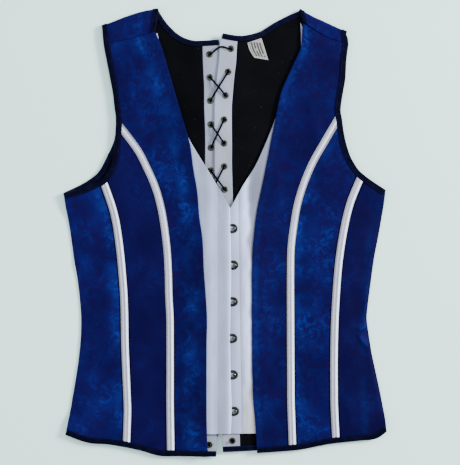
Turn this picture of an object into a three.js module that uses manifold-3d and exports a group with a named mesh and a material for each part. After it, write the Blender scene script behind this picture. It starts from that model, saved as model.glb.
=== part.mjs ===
// Boned waistcoat with a laced back, laid flat with its front up. Millimetres.
// +X runs to the right as seen from above, +Y towards the neck, +Z up from the table.
// "left" and "right" name the sides as seen from above.

import * as THREE from 'three';
import { mergeVertices } from 'three/addons/utils/BufferGeometryUtils.js';
import Module from 'manifold-3d';

const { smoothstep } = THREE.MathUtils;

// Cloth thicknesses, with the air that the layers keep between them
const BACK_CLOTH = 1.2;
const LINING = 1.0;
const FRONT_CLOTH = 1.4;
const INNER_CLOTH = 1.2;
const LABEL_CLOTH = 0.5;
const LABEL_AIR = 0.5;
const AIR = 0.3;
const FRONT_AIR = 0.6;
const LINING_AIR = 0.65;
const BACK_STACK = BACK_CLOTH + LINING_AIR + LINING;

// Bias binding: a folded strip that hugs an edge
const BINDING_WIDTH = 8;
const BINDING_WALL = 0.8;
const BINDING_AIR = 0.4;
const BINDING_REACH = BINDING_WALL + BINDING_AIR;
const TURN_AIR = 0.6;
const TURN_REACH = BINDING_WALL + TURN_AIR;

// Boning tapes, with two channels raised along each
const TAPE_WIDTH = 11;
const TAPE_EDGE = 0.5;
const TAPE_VALLEY = 0.9;
const TAPE_RIDGE = 1.6;
const TAPE_END_GAP = 0.6;
const TAPE_AIR = 0.5;
const TAPE_STEP = 0.0025;
const TAPE_TANGENT = 0.01;
const BONE_TRIM = 12;
const BONE_STRIDE = 8;

// Laced back: strips, eyelets and the lace
const STRIP_WIDTH = 26;
const STRIP_END = 0.0025;
const EYELET_PAIRS = 18;
const TOP_PAIRS_IN_SIGHT = 7;
const EYELET_OUTER = 5;
const EYELET_INNER = 2.6;
const EYELET_WALL = 0.6;
const EYELET_BEVEL = 0.7;
const EYELET_AIR = 0.45;
const HOLE_RADIUS = 2.7;
const HOLE_SIDES = 6;
const PUNCH_LENGTH = 60;
const ROUND_SIDES = 8;
const LACE_RADIUS = 0.8;
const LACE_SIDES = 5;
const KNOT_RADIUS = 2.2;
const KNOT_RISES = [1.6, 3.2, 4.2];
const LACE_REST = 0.1;
const LACE_AIR = 0.5;
const TURN_OUT = 3.4;
const EDGE_CLEARANCE = 1.2;
const MIDDLE_CLEARANCE = 2.5;

// Front busk: wire loops over studs
const BUSK_TOP_Y = 7.5;
const BUSK_PITCH = 54.75;
const BUSK_COUNT = 6;
const LOOP_WIRE = 0.95;
const LOOP_SIDES = 5;
const LOOP_HALF_HEIGHT = 6.05;
const LOOP_ARC_OFFSET = 3.9;
const LOOP_START = 0.5;
const LOOP_ANGLES = [-90, -60, -30, 0, 30, 60, 90];
const STUD_OFFSET = 6.9;
const STUD_STEM_HEIGHT = 2 * LOOP_WIRE + 2 * AIR;
// Radius and height of the stud's turned profile, from its foot to the top of its head
const STUD_PROFILE = [[0, 0], [1.6, 0], [1.6, STUD_STEM_HEIGHT], [3.1, STUD_STEM_HEIGHT + 0.1],
  [2.5, STUD_STEM_HEIGHT + 1.1], [0, STUD_STEM_HEIGHT + 1.5]];

// Heights above the table
const EDGE_RISE = 1.2;
const EDGE_RISE_FLAT = 13;
const EDGE_RISE_END = 42;
const BACK_LIFT_X = { left: [-80, -28], right: [0, 85] };
const LEFT_LIFT = 4.0;
const OVERLAP_LIFT = 3.1;
const OVERLAP_END_Y = -280;
const OVERLAP_FULL_Y = -150;
const INNER_REST = 4.8;
const INNER_RISE = { left: 10.0, right: 8.3 };
const INNER_RISE_X = { left: [-86, -8], right: [8, 95] };
const FRONT_STEP = INNER_CLOTH + FRONT_AIR;
const SEAM_HEIGHT = 1.5;
const SEAM_RISE = 1.6;
const SEAM_RISE_END = 6;
const SIDE_RISE_END = 45;
const SIDE_RISE_START = 13;
const SIDE_RISE_FULL = 40;
const FRONT_REST = INNER_REST + FRONT_STEP;
const SEAM_DROP = FRONT_REST - SEAM_HEIGHT;
const FRONT_TOP = FRONT_REST + FRONT_CLOTH;
const FOLD_RADIUS = FRONT_TOP / 2;
const PANEL_SEAM = 0.25;
const SHOULDER_SEAM = 0.35;
const LINING_INSET = 7.5;
const LINING_EDGE = 1.5;
const LINING_ARMHOLE_START = 0.03;
const SAMPLES = 120;
const FINE_STEPS = 1500;

// Shift that puts the middle of the garment's box over the origin
const CENTRING = { x: 1.28, y: -1.67 };

// Outlines as [x, y], from the hem up or from the underarm up, seen from above
const OUTLINES = {
  left: {
    out: -1,
    side: [[-241, -301], [-238.5, -289], [-232, -253], [-226, -217], [-222, -190], [-218.5, -154],
      [-218.5, -118], [-223, -73], [-229, -37], [-234, -1], [-240, 35], [-243.8, 59]],
    armhole: [[-243.8, 59], [-219, 69], [-204, 77], [-192, 86], [-182, 97.5], [-175.5, 110],
      [-171, 125], [-167, 143], [-164, 162], [-164, 174], [-166, 188], [-168, 206], [-171, 224],
      [-178, 260], [-182.5, 284]],
    backArmhole: [[-243.8, 60], [-219, 71.5], [-204, 80.5], [-194, 88.5], [-187, 97.5], [-178, 115],
      [-169.5, 133], [-165.5, 148], [-164.5, 170], [-167, 206], [-173, 242], [-181.5, 281], [-186, 313]],
    fold: [[-103.5, 338], [-123.5, 335], [-151.5, 326], [-186, 313]],
    seam: [[-106.5, 303.5], [-144, 292], [-182.5, 284]],
    neck: [[-11.6, 290], [-31.5, 289], [-51, 290], [-71, 299], [-87, 314], [-97, 327], [-103.5, 338]],
    centre: [[-14.7, -334], [-11, -150], [-8, 0], [-5.2, 129], [-6.7, 190], [-8.2, 222],
      [-11.4, 244], [-11.6, 270], [-11.6, 290]],
    backHem: [[-14.7, -334], [-60, -333], [-100, -331], [-131, -323], [-172, -315], [-207, -312],
      [-241, -301]],
    frontEdge: [[-27, -333], [-29, -280], [-29, -172], [-28.5, -122], [-33, -55], [-35, -10], [-40, 26],
      [-43, 62], [-49, 98], [-54, 134], [-64.5, 170], [-75, 206], [-85.5, 242], [-96, 278], [-106.5, 303.5]],
    frontHem: [[-27, -333], [-69, -333], [-99.5, -332.5], [-131, -324], [-172.5, -316],
      [-207, -313], [-241, -301]],
    innerBone: [[-84, -307], [-84, -136], [-85.5, -100], [-87, -46], [-90, -10], [-95, 26], [-103.5, 62],
      [-118.5, 98], [-138, 134], [-152, 152], [-164, 166]],
    outerBone: [[-147, -307], [-148.5, -244], [-151.5, -172], [-153, -100], [-157, -46], [-161, -10],
      [-167, 26], [-175, 53], [-183, 76], [-189, 90]],
    innerEdge: [[7, -300], [9, -260], [7.8, -235], [6.2, -150], [7.8, -60], [6.3, 22], [6, 38]],
    innerNeck: [[6, 38], [-20, 88], [-42, 124], [-54, 147], [-67, 172], [-78, 206], [-88.5, 242], [-98, 276],
      [-103, 301]],
    innerOuter: [[-84, -301], [-84, -136], [-90, -10], [-104, 62], [-128, 150], [-142, 220], [-150, 288]],
    innerHem: [[7, -300], [-38, -301], [-84, -301]],
    innerTop: [[-103, 301], [-150, 288]],
    eyelets: [[-25, -317], [-23.3, 59], [-22.4, 129], [-23.5, 198], [-24.7, 269]],
  },
  right: {
    out: 1,
    side: [[241, -296], [238.5, -274], [233, -244], [226, -211], [219, -178], [214.5, -149], [212, -130],
      [213, -112], [218, -73], [223, -37], [230, -1], [236, 35], [239.5, 64]],
    armhole: [[239.5, 64], [220.5, 76.5], [208, 85.5], [198, 95], [190.5, 106.5], [185.5, 116], [179.5, 134],
      [175.5, 152], [173, 170], [171, 184], [172, 197], [175, 215], [178, 233], [179.5, 260], [182.5, 283.5]],
    backArmhole: [[239.5, 64], [219.5, 76], [207, 85], [197, 94.5], [184.5, 116], [178.5, 134], [174.5, 152],
      [170, 184], [174, 215], [177, 233], [180, 262], [184, 292], [181, 304]],
    fold: [[112, 337], [123, 331.3], [134.5, 325], [149.5, 318], [161, 313], [181, 304]],
    seam: [[116, 317], [123.5, 312], [132, 306.5], [142.5, 299.5], [153, 294], [163.5, 290], [182.5, 283.5]],
    neck: [[-6.5, 299.5], [7, 297], [26, 296], [53, 304], [67.5, 314], [82.5, 323], [97.5, 331], [112, 337]],
    centre: [[-4.7, -327], [-9.5, -150], [-14, 0], [-17, 95], [-17.1, 129], [-17.4, 185], [-15.9, 209],
      [-13.5, 236], [-11, 256], [-10.2, 270], [-9.1, 287], [-6.5, 299.5]],
    backHem: [[-4.7, -327], [45, -325], [106, -322], [154, -313], [198, -308], [224, -305], [241, -296]],
    frontEdge: [[46.5, -328], [43.5, -280], [40.5, -244], [39, -172], [39, -46], [42, -1], [46.5, 35],
      [54, 71], [63, 116], [73.5, 170], [82.5, 211], [91.5, 233], [100.5, 253], [112, 278], [114, 296],
      [115.5, 316]],
    frontHem: [[46.5, -328], [106, -324], [154, -315], [198, -310], [224.5, -307], [241, -296]],
    innerBone: [[98, -307], [97, -172], [97, -46], [99, -10], [104, 26], [109.5, 53], [115.5, 71], [122, 89],
      [130.5, 107], [151, 143], [162, 161], [173.5, 178]],
    outerBone: [[163, -300], [162, -208], [163, -136], [166, -82], [169, -46], [174, -10], [181, 26],
      [189, 53], [197, 71], [206, 90]],
    innerEdge: [[2, -300], [2, -130], [2, 36]],
    innerNeck: [[2, 36], [7.5, 40], [25.5, 71], [45, 107], [62, 143], [76, 172], [85, 208], [94.5, 232],
      [103.5, 251], [112, 274], [112.5, 296], [111.5, 317]],
    innerOuter: [[97, -300], [97, -172], [99, -10], [112, 62], [132, 150], [146, 220], [153, 286]],
    innerHem: [[2, -300], [50, -300], [97, -300]],
    innerTop: [[111.5, 317], [121, 305], [153, 286]],
    eyelets: [[9.5, -311], [-1.8, 64], [-2.5, 98], [-2.9, 169], [-0.6, 206], [3, 240], [7.5, 277]],
  },
};
const FOLD_NORMAL = { left: [-0.28, 0.96], right: [0.43, 0.903] };
const LABEL = { x: 47.5, y: 274.5, width: 21, height: 26, turn: -0.27 };

// Rows along the length and columns across, closer where the cloth bends
const BACK_NECK_ROW = 0.93;
const UNDERARM_LEVEL = 0.59;
const CENTRE_LEVELS = [0, 0.02, 0.05, 0.12, 0.2, 0.3, 0.4, 0.5, UNDERARM_LEVEL, 0.64, 0.7, 0.78, 0.86,
  0.93, 0.98, 1];
const NECK_LEVELS = [0.13, 0.27, 0.43, 0.61, 0.8, 1];
const BACK_ROWS = [
  ...CENTRE_LEVELS.map((level) => level * BACK_NECK_ROW),
  ...NECK_LEVELS.map((level) => BACK_NECK_ROW + (1 - BACK_NECK_ROW) * level),
];
const BONE_LEVELS = [0, 0.04, 0.09, 0.17, 0.27, 0.38, 0.49, 0.6, 0.7, 0.8, 0.88, 0.93, 0.965, 1];
const BONE_TOP_ROW = 0.73;
const SHOULDER_ROWS = 7;
const INNER_NECK_ROW = 0.55;
const INNER_EDGE_ROWS = 7;
const INNER_NECK_ROWS = 9;
const FOLD_ANGLES = [-45, 0, 45, 90];
const COLUMNS = {
  back: { near: [13, STRIP_WIDTH + AIR, 40, 55, 75, 100], far: [24, 11] },
  lining: { near: [11, 22, 34, 49, 74], far: [18, 5] },
  strip: { near: [13], far: [] },
  inner: { near: [14, 24, 34, 44, 54, 64, 76], far: [] },
  centre: { near: [9, 18, 28, 40], far: [] },
  middle: { near: [16, 30, 44], far: [] },
  side: { near: [20], far: [30, 12, 6, 3] },
};
const COLUMN_MARGIN = 10;

// A smooth line through a few points, kept as evenly spaced samples
class Line {
  constructor(samples) {
    this.samples = samples;
  }

  static through(points) {
    const curve = new THREE.SplineCurve(points.map(([x, y]) => new THREE.Vector2(x, y)));
    return new Line(curve.getSpacedPoints(SAMPLES));
  }

  at(share) {
    const place = THREE.MathUtils.clamp(share, 0, 1) * (this.samples.length - 1);
    const index = Math.min(Math.floor(place), this.samples.length - 2);
    return this.samples[index].clone().lerp(this.samples[index + 1], place - index);
  }

  part(from, to) {
    const share = (i) => from + (to - from) * i / SAMPLES;
    return new Line(Array.from({ length: SAMPLES + 1 }, (_, i) => this.at(share(i))));
  }

  moved(dx, dy = 0) {
    return new Line(this.samples.map((p) => new THREE.Vector2(p.x + dx, p.y + dy)));
  }

  // The line set off sideways, to its left for a positive distance
  setOff(distance) {
    const last = this.samples.length - 1;
    return new Line(this.samples.map((p, i) => {
      const before = this.samples[Math.max(i - 1, 0)];
      const along = this.samples[Math.min(i + 1, last)].clone().sub(before).normalize();
      return new THREE.Vector2(p.x - along.y * distance, p.y + along.x * distance);
    }));
  }

  // Share of the line at which it comes nearest to a point
  nearest(point) {
    const gaps = this.samples.map((p) => p.distanceTo(point));
    return gaps.indexOf(Math.min(...gaps)) / (this.samples.length - 1);
  }

  // Share of the line at which it comes nearest to another line
  meets(other) {
    const shares = Array.from({ length: FINE_STEPS + 1 }, (_, i) => i / FINE_STEPS);
    const gaps = shares.map((share) => other.distance(...this.at(share).toArray()));
    return shares[gaps.indexOf(Math.min(...gaps))];
  }

  // Share of the line at which it crosses a height y, for lines that run up or down
  crossing(y) {
    const rising = this.samples.at(-1).y > this.samples[0].y;
    const index = this.samples.findIndex((p) => (rising ? p.y >= y : p.y <= y));
    return (index < 0 ? this.samples.length - 1 : index) / (this.samples.length - 1);
  }

  xAt(y) {
    return this.at(this.crossing(y)).x;
  }

  distance(x, y) {
    let best = Infinity;
    for (let i = 1; i < this.samples.length; i += 1) {
      const a = this.samples[i - 1];
      const b = this.samples[i];
      const along = (x - a.x) * (b.x - a.x) + (y - a.y) * (b.y - a.y);
      const t = THREE.MathUtils.clamp(along / a.distanceToSquared(b), 0, 1);
      best = Math.min(best, Math.hypot(a.x + (b.x - a.x) * t - x, a.y + (b.y - a.y) * t - y));
    }
    return best;
  }
}

// A boundary made of two lines that meet at a row
function twoPart(first, second, row) {
  return (v) => (v <= row ? first.at(v / row) : second.at((v - row) / (1 - row)));
}

// Plan of a panel stretched between its four edges
function patch(left, right, bottom, top) {
  const corners = [left(0), right(0), left(1), right(1)];
  const pinned = (edge, start, end) => {
    const shifts = [start.clone().sub(edge(0)), end.clone().sub(edge(1))];
    return (u) => edge(u).addScaledVector(shifts[0], 1 - u).addScaledVector(shifts[1], u);
  };
  const low = pinned(bottom, corners[0], corners[1]);
  const high = pinned(top, corners[2], corners[3]);
  return (u, v) => {
    const point = new THREE.Vector2();
    point.addScaledVector(low(u), 1 - v).addScaledVector(high(u), v);
    point.addScaledVector(left(v), 1 - u).addScaledVector(right(v), u);
    point.addScaledVector(corners[0], -(1 - u) * (1 - v)).addScaledVector(corners[1], -u * (1 - v));
    return point.addScaledVector(corners[2], -(1 - u) * v).addScaledVector(corners[3], -u * v);
  };
}

// An edge whose last stretch moves over, so that it ends on the line set back from the fold
function fitted(edge, fold, setBack, end) {
  const shift = setBack.at(end).sub(fold.at(end));
  return (v) => edge(v).addScaledVector(shift, smoothstep(v, BACK_NECK_ROW, 1));
}

function columnsAcross(width, { near, far }) {
  const room = width - Math.max(0, ...far) - COLUMN_MARGIN;
  const squeeze = Math.min(1, room / Math.max(...near));
  return [0, ...near.map((d) => d * squeeze / width), ...far.map((d) => 1 - d / width), 1];
}

function planRows(plan, rows, columns) {
  return rows.map((v) => {
    const width = plan(0, v).distanceTo(plan(1, v));
    return columnsAcross(width, columns).map((u) => plan(u, v));
  });
}

// A closed solid from vertices and triangles, its faces turned outwards
function closedSolid(vertices, triangles) {
  const volume = triangles.reduce((sum, [a, b, c]) => (
    sum + vertices[a].dot(vertices[b].clone().cross(vertices[c]))), 0);
  const faces = volume < 0 ? triangles.map(([a, b, c]) => [a, c, b]) : triangles;
  const geometry = new THREE.BufferGeometry();
  const numbers = vertices.flatMap((p) => p.toArray());
  geometry.setAttribute('position', new THREE.Float32BufferAttribute(numbers, 3));
  geometry.setIndex(faces.flat());
  geometry.computeVertexNormals();
  return geometry;
}

function quad(a, b, c, d) {
  return [[a, b, c], [a, c, d]];
}

// A cloth wall from rows of { outer, inner } points
function wall(rows) {
  const across = rows[0].length;
  const half = rows.length * across;
  const end = across - 1;
  const outer = (i, j) => i * across + j;
  const inner = (i, j) => half + outer(i, j);
  const vertices = [...rows.flat().map((p) => p.outer), ...rows.flat().map((p) => p.inner)];
  const triangles = [];
  const last = rows.length - 1;
  for (let i = 0; i < last; i += 1) {
    for (let j = 0; j < end; j += 1) {
      triangles.push(...quad(outer(i, j), outer(i, j + 1), outer(i + 1, j + 1), outer(i + 1, j)));
      triangles.push(...quad(inner(i, j), inner(i + 1, j), inner(i + 1, j + 1), inner(i, j + 1)));
    }
    triangles.push(...quad(outer(i + 1, 0), inner(i + 1, 0), inner(i, 0), outer(i, 0)));
    triangles.push(...quad(outer(i, end), inner(i, end), inner(i + 1, end), outer(i + 1, end)));
  }
  for (let j = 0; j < end; j += 1) {
    triangles.push(...quad(outer(0, j), inner(0, j), inner(0, j + 1), outer(0, j + 1)));
    triangles.push(...quad(outer(last, j + 1), inner(last, j + 1), inner(last, j), outer(last, j)));
  }
  return closedSolid(vertices, triangles);
}

function fanCap(count) {
  return Array.from({ length: count - 2 }, (_, k) => [0, k + 1, k + 2]);
}

// A closed solid from equal rings of points, its two ends covered by the cap's triangles
function skin(rings, cap = fanCap(rings[0].length)) {
  const count = rings[0].length;
  const vertices = rings.flat();
  const triangles = [];
  for (let i = 0; i < rings.length - 1; i += 1) {
    for (let j = 0; j < count; j += 1) {
      const k = (j + 1) % count;
      triangles.push(...quad(i * count + j, i * count + k, (i + 1) * count + k, (i + 1) * count + j));
    }
  }
  const end = (rings.length - 1) * count;
  triangles.push(...cap.map(([a, b, c]) => [a, c, b]), ...cap.map((corner) => corner.map((k) => k + end)));
  return closedSolid(vertices, triangles);
}

// A round tube through points that each carry their own radius
function tube(points, sides) {
  let side = null;
  const rings = points.map((p, i) => {
    const before = points[Math.max(i - 1, 0)].at;
    const after = points[Math.min(i + 1, points.length - 1)].at;
    const arriving = p.at.clone().sub(before).normalize();
    const along = after.clone().sub(p.at).normalize().add(arriving).normalize();
    side = side || new THREE.Vector3(0, 1, 0).cross(along);
    side = side.clone().addScaledVector(along, -side.dot(along)).normalize();
    const up = along.clone().cross(side);
    return Array.from({ length: sides }, (_, k) => {
      const angle = 2 * Math.PI * k / sides;
      return p.at.clone().addScaledVector(side, p.radius * Math.cos(angle))
        .addScaledVector(up, p.radius * Math.sin(angle));
    });
  });
  return skin(rings);
}

function asManifold(geometry, wasm) {
  const bare = new THREE.BufferGeometry();
  bare.setAttribute('position', geometry.getAttribute('position'));
  bare.setIndex(geometry.index);
  const merged = mergeVertices(bare);
  const vertProperties = new Float32Array(merged.getAttribute('position').array);
  const triVerts = new Uint32Array(merged.index.array);
  return new wasm.Manifold(new wasm.Mesh({ numProp: 3, vertProperties, triVerts }));
}

// Cloth with upright holes punched through it
function punched(geometry, places, wasm) {
  let solid = asManifold(geometry, wasm);
  for (const place of places) {
    const punch = new THREE.CylinderGeometry(HOLE_RADIUS, HOLE_RADIUS, PUNCH_LENGTH, HOLE_SIDES);
    punch.rotateX(Math.PI / 2).translate(place.x, place.y, 0);
    solid = solid.subtract(asManifold(punch, wasm));
  }
  const mesh = solid.getMesh();
  const result = new THREE.BufferGeometry();
  result.setAttribute('position', new THREE.Float32BufferAttribute(mesh.vertProperties, 3));
  result.setIndex(Array.from(mesh.triVerts));
  result.computeVertexNormals();
  return result;
}

// Finishes of the pieces
const FINISHES = {
  blue: { color: 0x17377f, roughness: 0.6, metalness: 0 },
  satin: { color: 0xe9eae4, roughness: 0.42, metalness: 0 },
  black: { color: 0x14161c, roughness: 0.7, metalness: 0 },
  binding: { color: 0x10162c, roughness: 0.5, metalness: 0 },
  tape: { color: 0xeeeeea, roughness: 0.75, metalness: 0 },
  label: { color: 0xf4f3ee, roughness: 0.6, metalness: 0 },
  lace: { color: 0x0b0b0e, roughness: 0.8, metalness: 0 },
  steel: { color: 0x8f9298, roughness: 0.35, metalness: 1 },
};
const waistcoat = new THREE.Group();

function add(name, geometry, finish) {
  geometry.translate(CENTRING.x, CENTRING.y, 0);
  const mesh = new THREE.Mesh(geometry, new THREE.MeshStandardMaterial(FINISHES[finish]));
  mesh.name = name;
  waistcoat.add(mesh);
}

// The lines and heights of one side of the garment
function sideOf(name) {
  const { out, ...tables } = OUTLINES[name];
  const line = Object.fromEntries(
    Object.entries(tables).map(([key, points]) => [key, Line.through(points)]));
  const normal = new THREE.Vector2(...FOLD_NORMAL[name]);
  const backEdges = [line.backArmhole, line.neck, line.backHem];
  const frontEdges = [line.armhole, line.frontHem];
  const nearestOf = (lines, x, y) => Math.min(...lines.map((edge) => edge.distance(x, y)));
  const overlap = (y) => OVERLAP_LIFT * smoothstep(y, OVERLAP_END_Y, OVERLAP_FULL_Y);

  // How far the laced middle lifts the back off the table
  const risingTo = (x, [from, to]) => {
    const share = smoothstep(x, from, to);
    return name === 'left' ? share : 1 - share;
  };
  const fullLift = (y) => (name === 'left' ? LEFT_LIFT : LEFT_LIFT + overlap(y));
  const backLift = (x, y) => fullLift(y) * risingTo(x, BACK_LIFT_X[name]);
  const backLow = (x, y) => {
    const rise = EDGE_RISE * (1 - smoothstep(nearestOf(backEdges, x, y), EDGE_RISE_FLAT, EDGE_RISE_END));
    return rise + backLift(x, y);
  };
  const innerRise = (y) => INNER_RISE[name] - OVERLAP_LIFT + overlap(y);
  const innerLow = (x, y) => INNER_REST + innerRise(y) * risingTo(x, INNER_RISE_X[name]);
  const frontLow = (x, y) => {
    const fromSide = Math.max(0, (line.side.xAt(y) - x) * out);
    const drop = SEAM_DROP - SEAM_RISE * smoothstep(fromSide, 0, SEAM_RISE_END)
      - (SEAM_DROP - SEAM_RISE) * smoothstep(fromSide, 0, SIDE_RISE_END);
    const clear = smoothstep(nearestOf(frontEdges, x, y), SIDE_RISE_START, SIDE_RISE_FULL);
    return innerLow(x, y) + FRONT_STEP - drop * clear;
  };
  return { name, out, line, normal, backLow, innerLow, frontLow };
}

// Lays plan rows at a height, as a cloth of even thickness whose outer face is below or above
function laid(rows, low, thickness, outerBelow) {
  return rows.map((row) => row.map((p) => {
    const z = low(p.x, p.y);
    const under = new THREE.Vector3(p.x, p.y, z);
    const over = new THREE.Vector3(p.x, p.y, z + thickness);
    return outerBelow ? { outer: under, inner: over } : { outer: over, inner: under };
  }));
}

// The back cloth: it lies on the table, rolls over the shoulder and ends at the forward seam
function backRows(side) {
  const { line, normal } = side;
  const foot = line.fold.moved(-normal.x * FOLD_RADIUS, -normal.y * FOLD_RADIUS);
  const centreEdge = twoPart(line.centre, line.neck, BACK_NECK_ROW);
  const underarmRow = BACK_NECK_ROW * UNDERARM_LEVEL;
  const sideEdge = twoPart(line.side, line.backArmhole, underarmRow);
  const plan = patch(fitted(centreEdge, line.fold, foot, 0), fitted(sideEdge, line.fold, foot, 1),
    (u) => line.backHem.at(u), (u) => foot.at(u));
  const flat = laid(planRows(plan, BACK_ROWS, COLUMNS.back), side.backLow, BACK_CLOTH, true);
  const lastRow = flat.at(-1);
  const width = lastRow[0].outer.distanceTo(lastRow.at(-1).outer);
  const us = columnsAcross(width, COLUMNS.back);
  const outward = new THREE.Vector3(normal.x, normal.y, 0);
  const rolled = FOLD_ANGLES.map((degrees) => lastRow.map(({ outer }) => {
    const angle = THREE.MathUtils.degToRad(degrees);
    const radius = (FRONT_TOP - outer.z) / 2;
    const centre = new THREE.Vector3(outer.x, outer.y, outer.z + radius);
    const ray = outward.clone().multiplyScalar(Math.cos(angle)).setZ(Math.sin(angle));
    return {
      outer: centre.clone().addScaledVector(ray, radius),
      inner: centre.clone().addScaledVector(ray, radius - BACK_CLOTH),
    };
  }));
  const seamRow = [0.5, 1].map((share) => rolled.at(-1).map(({ outer }, j) => {
    const seam = line.seam.at(us[j]).addScaledVector(normal, SHOULDER_SEAM);
    const top = new THREE.Vector3(seam.x, seam.y, FRONT_TOP);
    const over = outer.clone().lerp(top, share);
    return { outer: over, inner: over.clone().setZ(FRONT_TOP - BACK_CLOTH) };
  }));
  return { flat, rolled: [...rolled, ...seamRow] };
}

function liningRows(side) {
  const { line, out, normal } = side;
  const stripSide = line.centre.moved(out * (STRIP_WIDTH + LINING_AIR));
  const stripLine = stripSide.part(stripSide.meets(line.backHem), stripSide.meets(line.neck));
  const neckStart = line.neck.nearest(stripLine.at(1));
  const reach = FOLD_RADIUS + COLUMN_MARGIN / 2;
  const top = line.fold.moved(-normal.x * reach, -normal.y * reach);
  const armhole = line.backArmhole.part(LINING_ARMHOLE_START, 1).setOff(out * LINING_EDGE);
  const neck = line.neck.part(neckStart, 1).setOff(-out * LINING_EDGE);
  const centreEdge = twoPart(stripLine, neck, BACK_NECK_ROW);
  const sideEdge = twoPart(line.side.moved(-out * LINING_INSET), armhole, BACK_NECK_ROW * UNDERARM_LEVEL);
  const hemStart = line.backHem.nearest(stripLine.at(0));
  const hemEnd = line.backHem.nearest(sideEdge(0));
  const hem = line.backHem.part(hemStart, hemEnd).moved(0, LINING_EDGE);
  const plan = patch(fitted(centreEdge, line.fold, top, 0), fitted(sideEdge, line.fold, top, 1),
    (u) => hem.at(u), (u) => top.at(u));
  const low = (x, y) => side.backLow(x, y) + BACK_CLOTH + LINING_AIR;
  return laid(planRows(plan, BACK_ROWS, COLUMNS.lining), low, LINING, true);
}

function stripRows(side) {
  const { line, out } = side;
  const whole = line.centre.moved(out * STRIP_WIDTH);
  const near = line.centre.part(STRIP_END, 1 - STRIP_END);
  const far = whole.part(whole.meets(line.backHem) + STRIP_END, whole.meets(line.neck) - STRIP_END);
  const plan = (u, v) => near.at(v).lerp(far.at(v), u);
  const low = (x, y) => side.backLow(x, y) + BACK_CLOTH + LINING_AIR;
  return laid(planRows(plan, CENTRE_LEVELS, COLUMNS.strip), low, LINING, true);
}

// The three panels of one front, joined along the boning lines
function frontRows(side) {
  const { line, out, normal } = side;
  const shift = out * PANEL_SEAM;
  const innerTop = line.armhole.nearest(line.innerBone.at(1));
  const outerTop = line.armhole.nearest(line.outerBone.at(1));
  const hemInner = line.frontHem.nearest(line.innerBone.at(0));
  const hemOuter = line.frontHem.nearest(line.outerBone.at(0));
  const between = (bone, hemShare, topShare) => {
    const bottom = line.frontHem.at(hemShare);
    const top = line.armhole.at(topShare);
    const points = bone.samples.slice(BONE_TRIM, -BONE_TRIM).filter((_, i) => i % BONE_STRIDE === 0);
    return Line.through([bottom, ...points, top].map((p) => p.toArray()));
  };
  const inner = between(line.innerBone, hemInner, innerTop);
  const outer = between(line.outerBone, hemOuter, outerTop);
  const seamLine = line.seam.moved(-normal.x * SHOULDER_SEAM, -normal.y * SHOULDER_SEAM);
  const low = side.frontLow;

  const centreEdge = (v) => line.frontEdge.at(v);
  const centreOuter = twoPart(inner.moved(-shift), line.armhole.part(innerTop, 1), BONE_TOP_ROW);
  const centreHem = line.frontHem.part(0, hemInner);
  const centrePlan = patch(centreEdge, centreOuter, (u) => centreHem.at(u), (u) => seamLine.at(u));
  const shoulder = Array.from({ length: SHOULDER_ROWS }, (_, i) => (
    BONE_TOP_ROW + (1 - BONE_TOP_ROW) * (i + 1) / SHOULDER_ROWS));
  const centreLevels = [...BONE_LEVELS.map((level) => level * BONE_TOP_ROW), ...shoulder];

  const middleHem = line.frontHem.part(hemInner, hemOuter);
  const middleTop = line.armhole.part(innerTop, outerTop);
  const middlePlan = patch((v) => inner.moved(shift).at(v), (v) => outer.moved(-shift).at(v),
    (u) => middleHem.at(u), (u) => middleTop.at(u));

  const sideHem = line.frontHem.part(hemOuter, 1);
  const sideTop = line.armhole.part(outerTop, 0);
  const sidePlan = patch((v) => outer.moved(shift).at(v), (v) => line.side.at(v),
    (u) => sideHem.at(u), (u) => sideTop.at(u));

  return {
    inner,
    outer,
    centre: laid(planRows(centrePlan, centreLevels, COLUMNS.centre), low, FRONT_CLOTH, false),
    middle: laid(planRows(middlePlan, BONE_LEVELS, COLUMNS.middle), low, FRONT_CLOTH, false),
    side: laid(planRows(sidePlan, BONE_LEVELS, COLUMNS.side), low, FRONT_CLOTH, false),
  };
}

function innerFrontRows(side) {
  const { line } = side;
  const plan = patch(twoPart(line.innerEdge, line.innerNeck, INNER_NECK_ROW), (v) => line.innerOuter.at(v),
    (u) => line.innerHem.at(u), (u) => line.innerTop.at(u));
  const edgeRows = Array.from({ length: INNER_EDGE_ROWS }, (_, i) => INNER_NECK_ROW * i / INNER_EDGE_ROWS);
  const neckRows = Array.from({ length: INNER_NECK_ROWS + 1 }, (_, i) => (
    INNER_NECK_ROW + (1 - INNER_NECK_ROW) * i / INNER_NECK_ROWS));
  const rows = [...edgeRows, ...neckRows];
  return laid(planRows(plan, rows, COLUMNS.inner), side.innerLow, INNER_CLOTH, false);
}

// A binding folded round an edge; each station is a point pair of the edge that it hugs
function bindingOf(stations, turn) {
  const rings = stations.map((station, i) => {
    const before = stations[Math.max(i - 1, 0)].outer;
    const after = stations[Math.min(i + 1, stations.length - 1)].outer;
    const along = after.clone().sub(before).normalize();
    const up = station.up;
    const inward = station.inward || along.cross(up).multiplyScalar(turn).normalize();
    const foot = station.outer.clone().addScaledVector(inward, BINDING_WIDTH);
    if (station.face) {
      foot.z = station.face(foot.x, foot.y);
    }
    const near = (s, h) => station.outer.clone().addScaledVector(inward, s).addScaledVector(up, h);
    const end = (h) => foot.clone().addScaledVector(up, h);
    const top = station.stack + BINDING_AIR;
    return [
      end(-BINDING_REACH),
      near(-TURN_REACH, -BINDING_REACH),
      near(-TURN_REACH, top + BINDING_WALL),
      end(top + BINDING_WALL),
      end(top),
      near(-TURN_AIR, top),
      near(-TURN_AIR, -BINDING_AIR),
      end(-BINDING_AIR),
    ];
  });
  return skin(rings, BINDING_CAP);
}

// The binding's section is its outer leg, its turn and its inner leg
const BINDING_CAP = [...quad(0, 1, 6, 7), ...quad(1, 2, 5, 6), ...quad(2, 3, 4, 5)];
const UP = new THREE.Vector3(0, 0, 1);
const DOWN = new THREE.Vector3(0, 0, -1);

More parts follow.
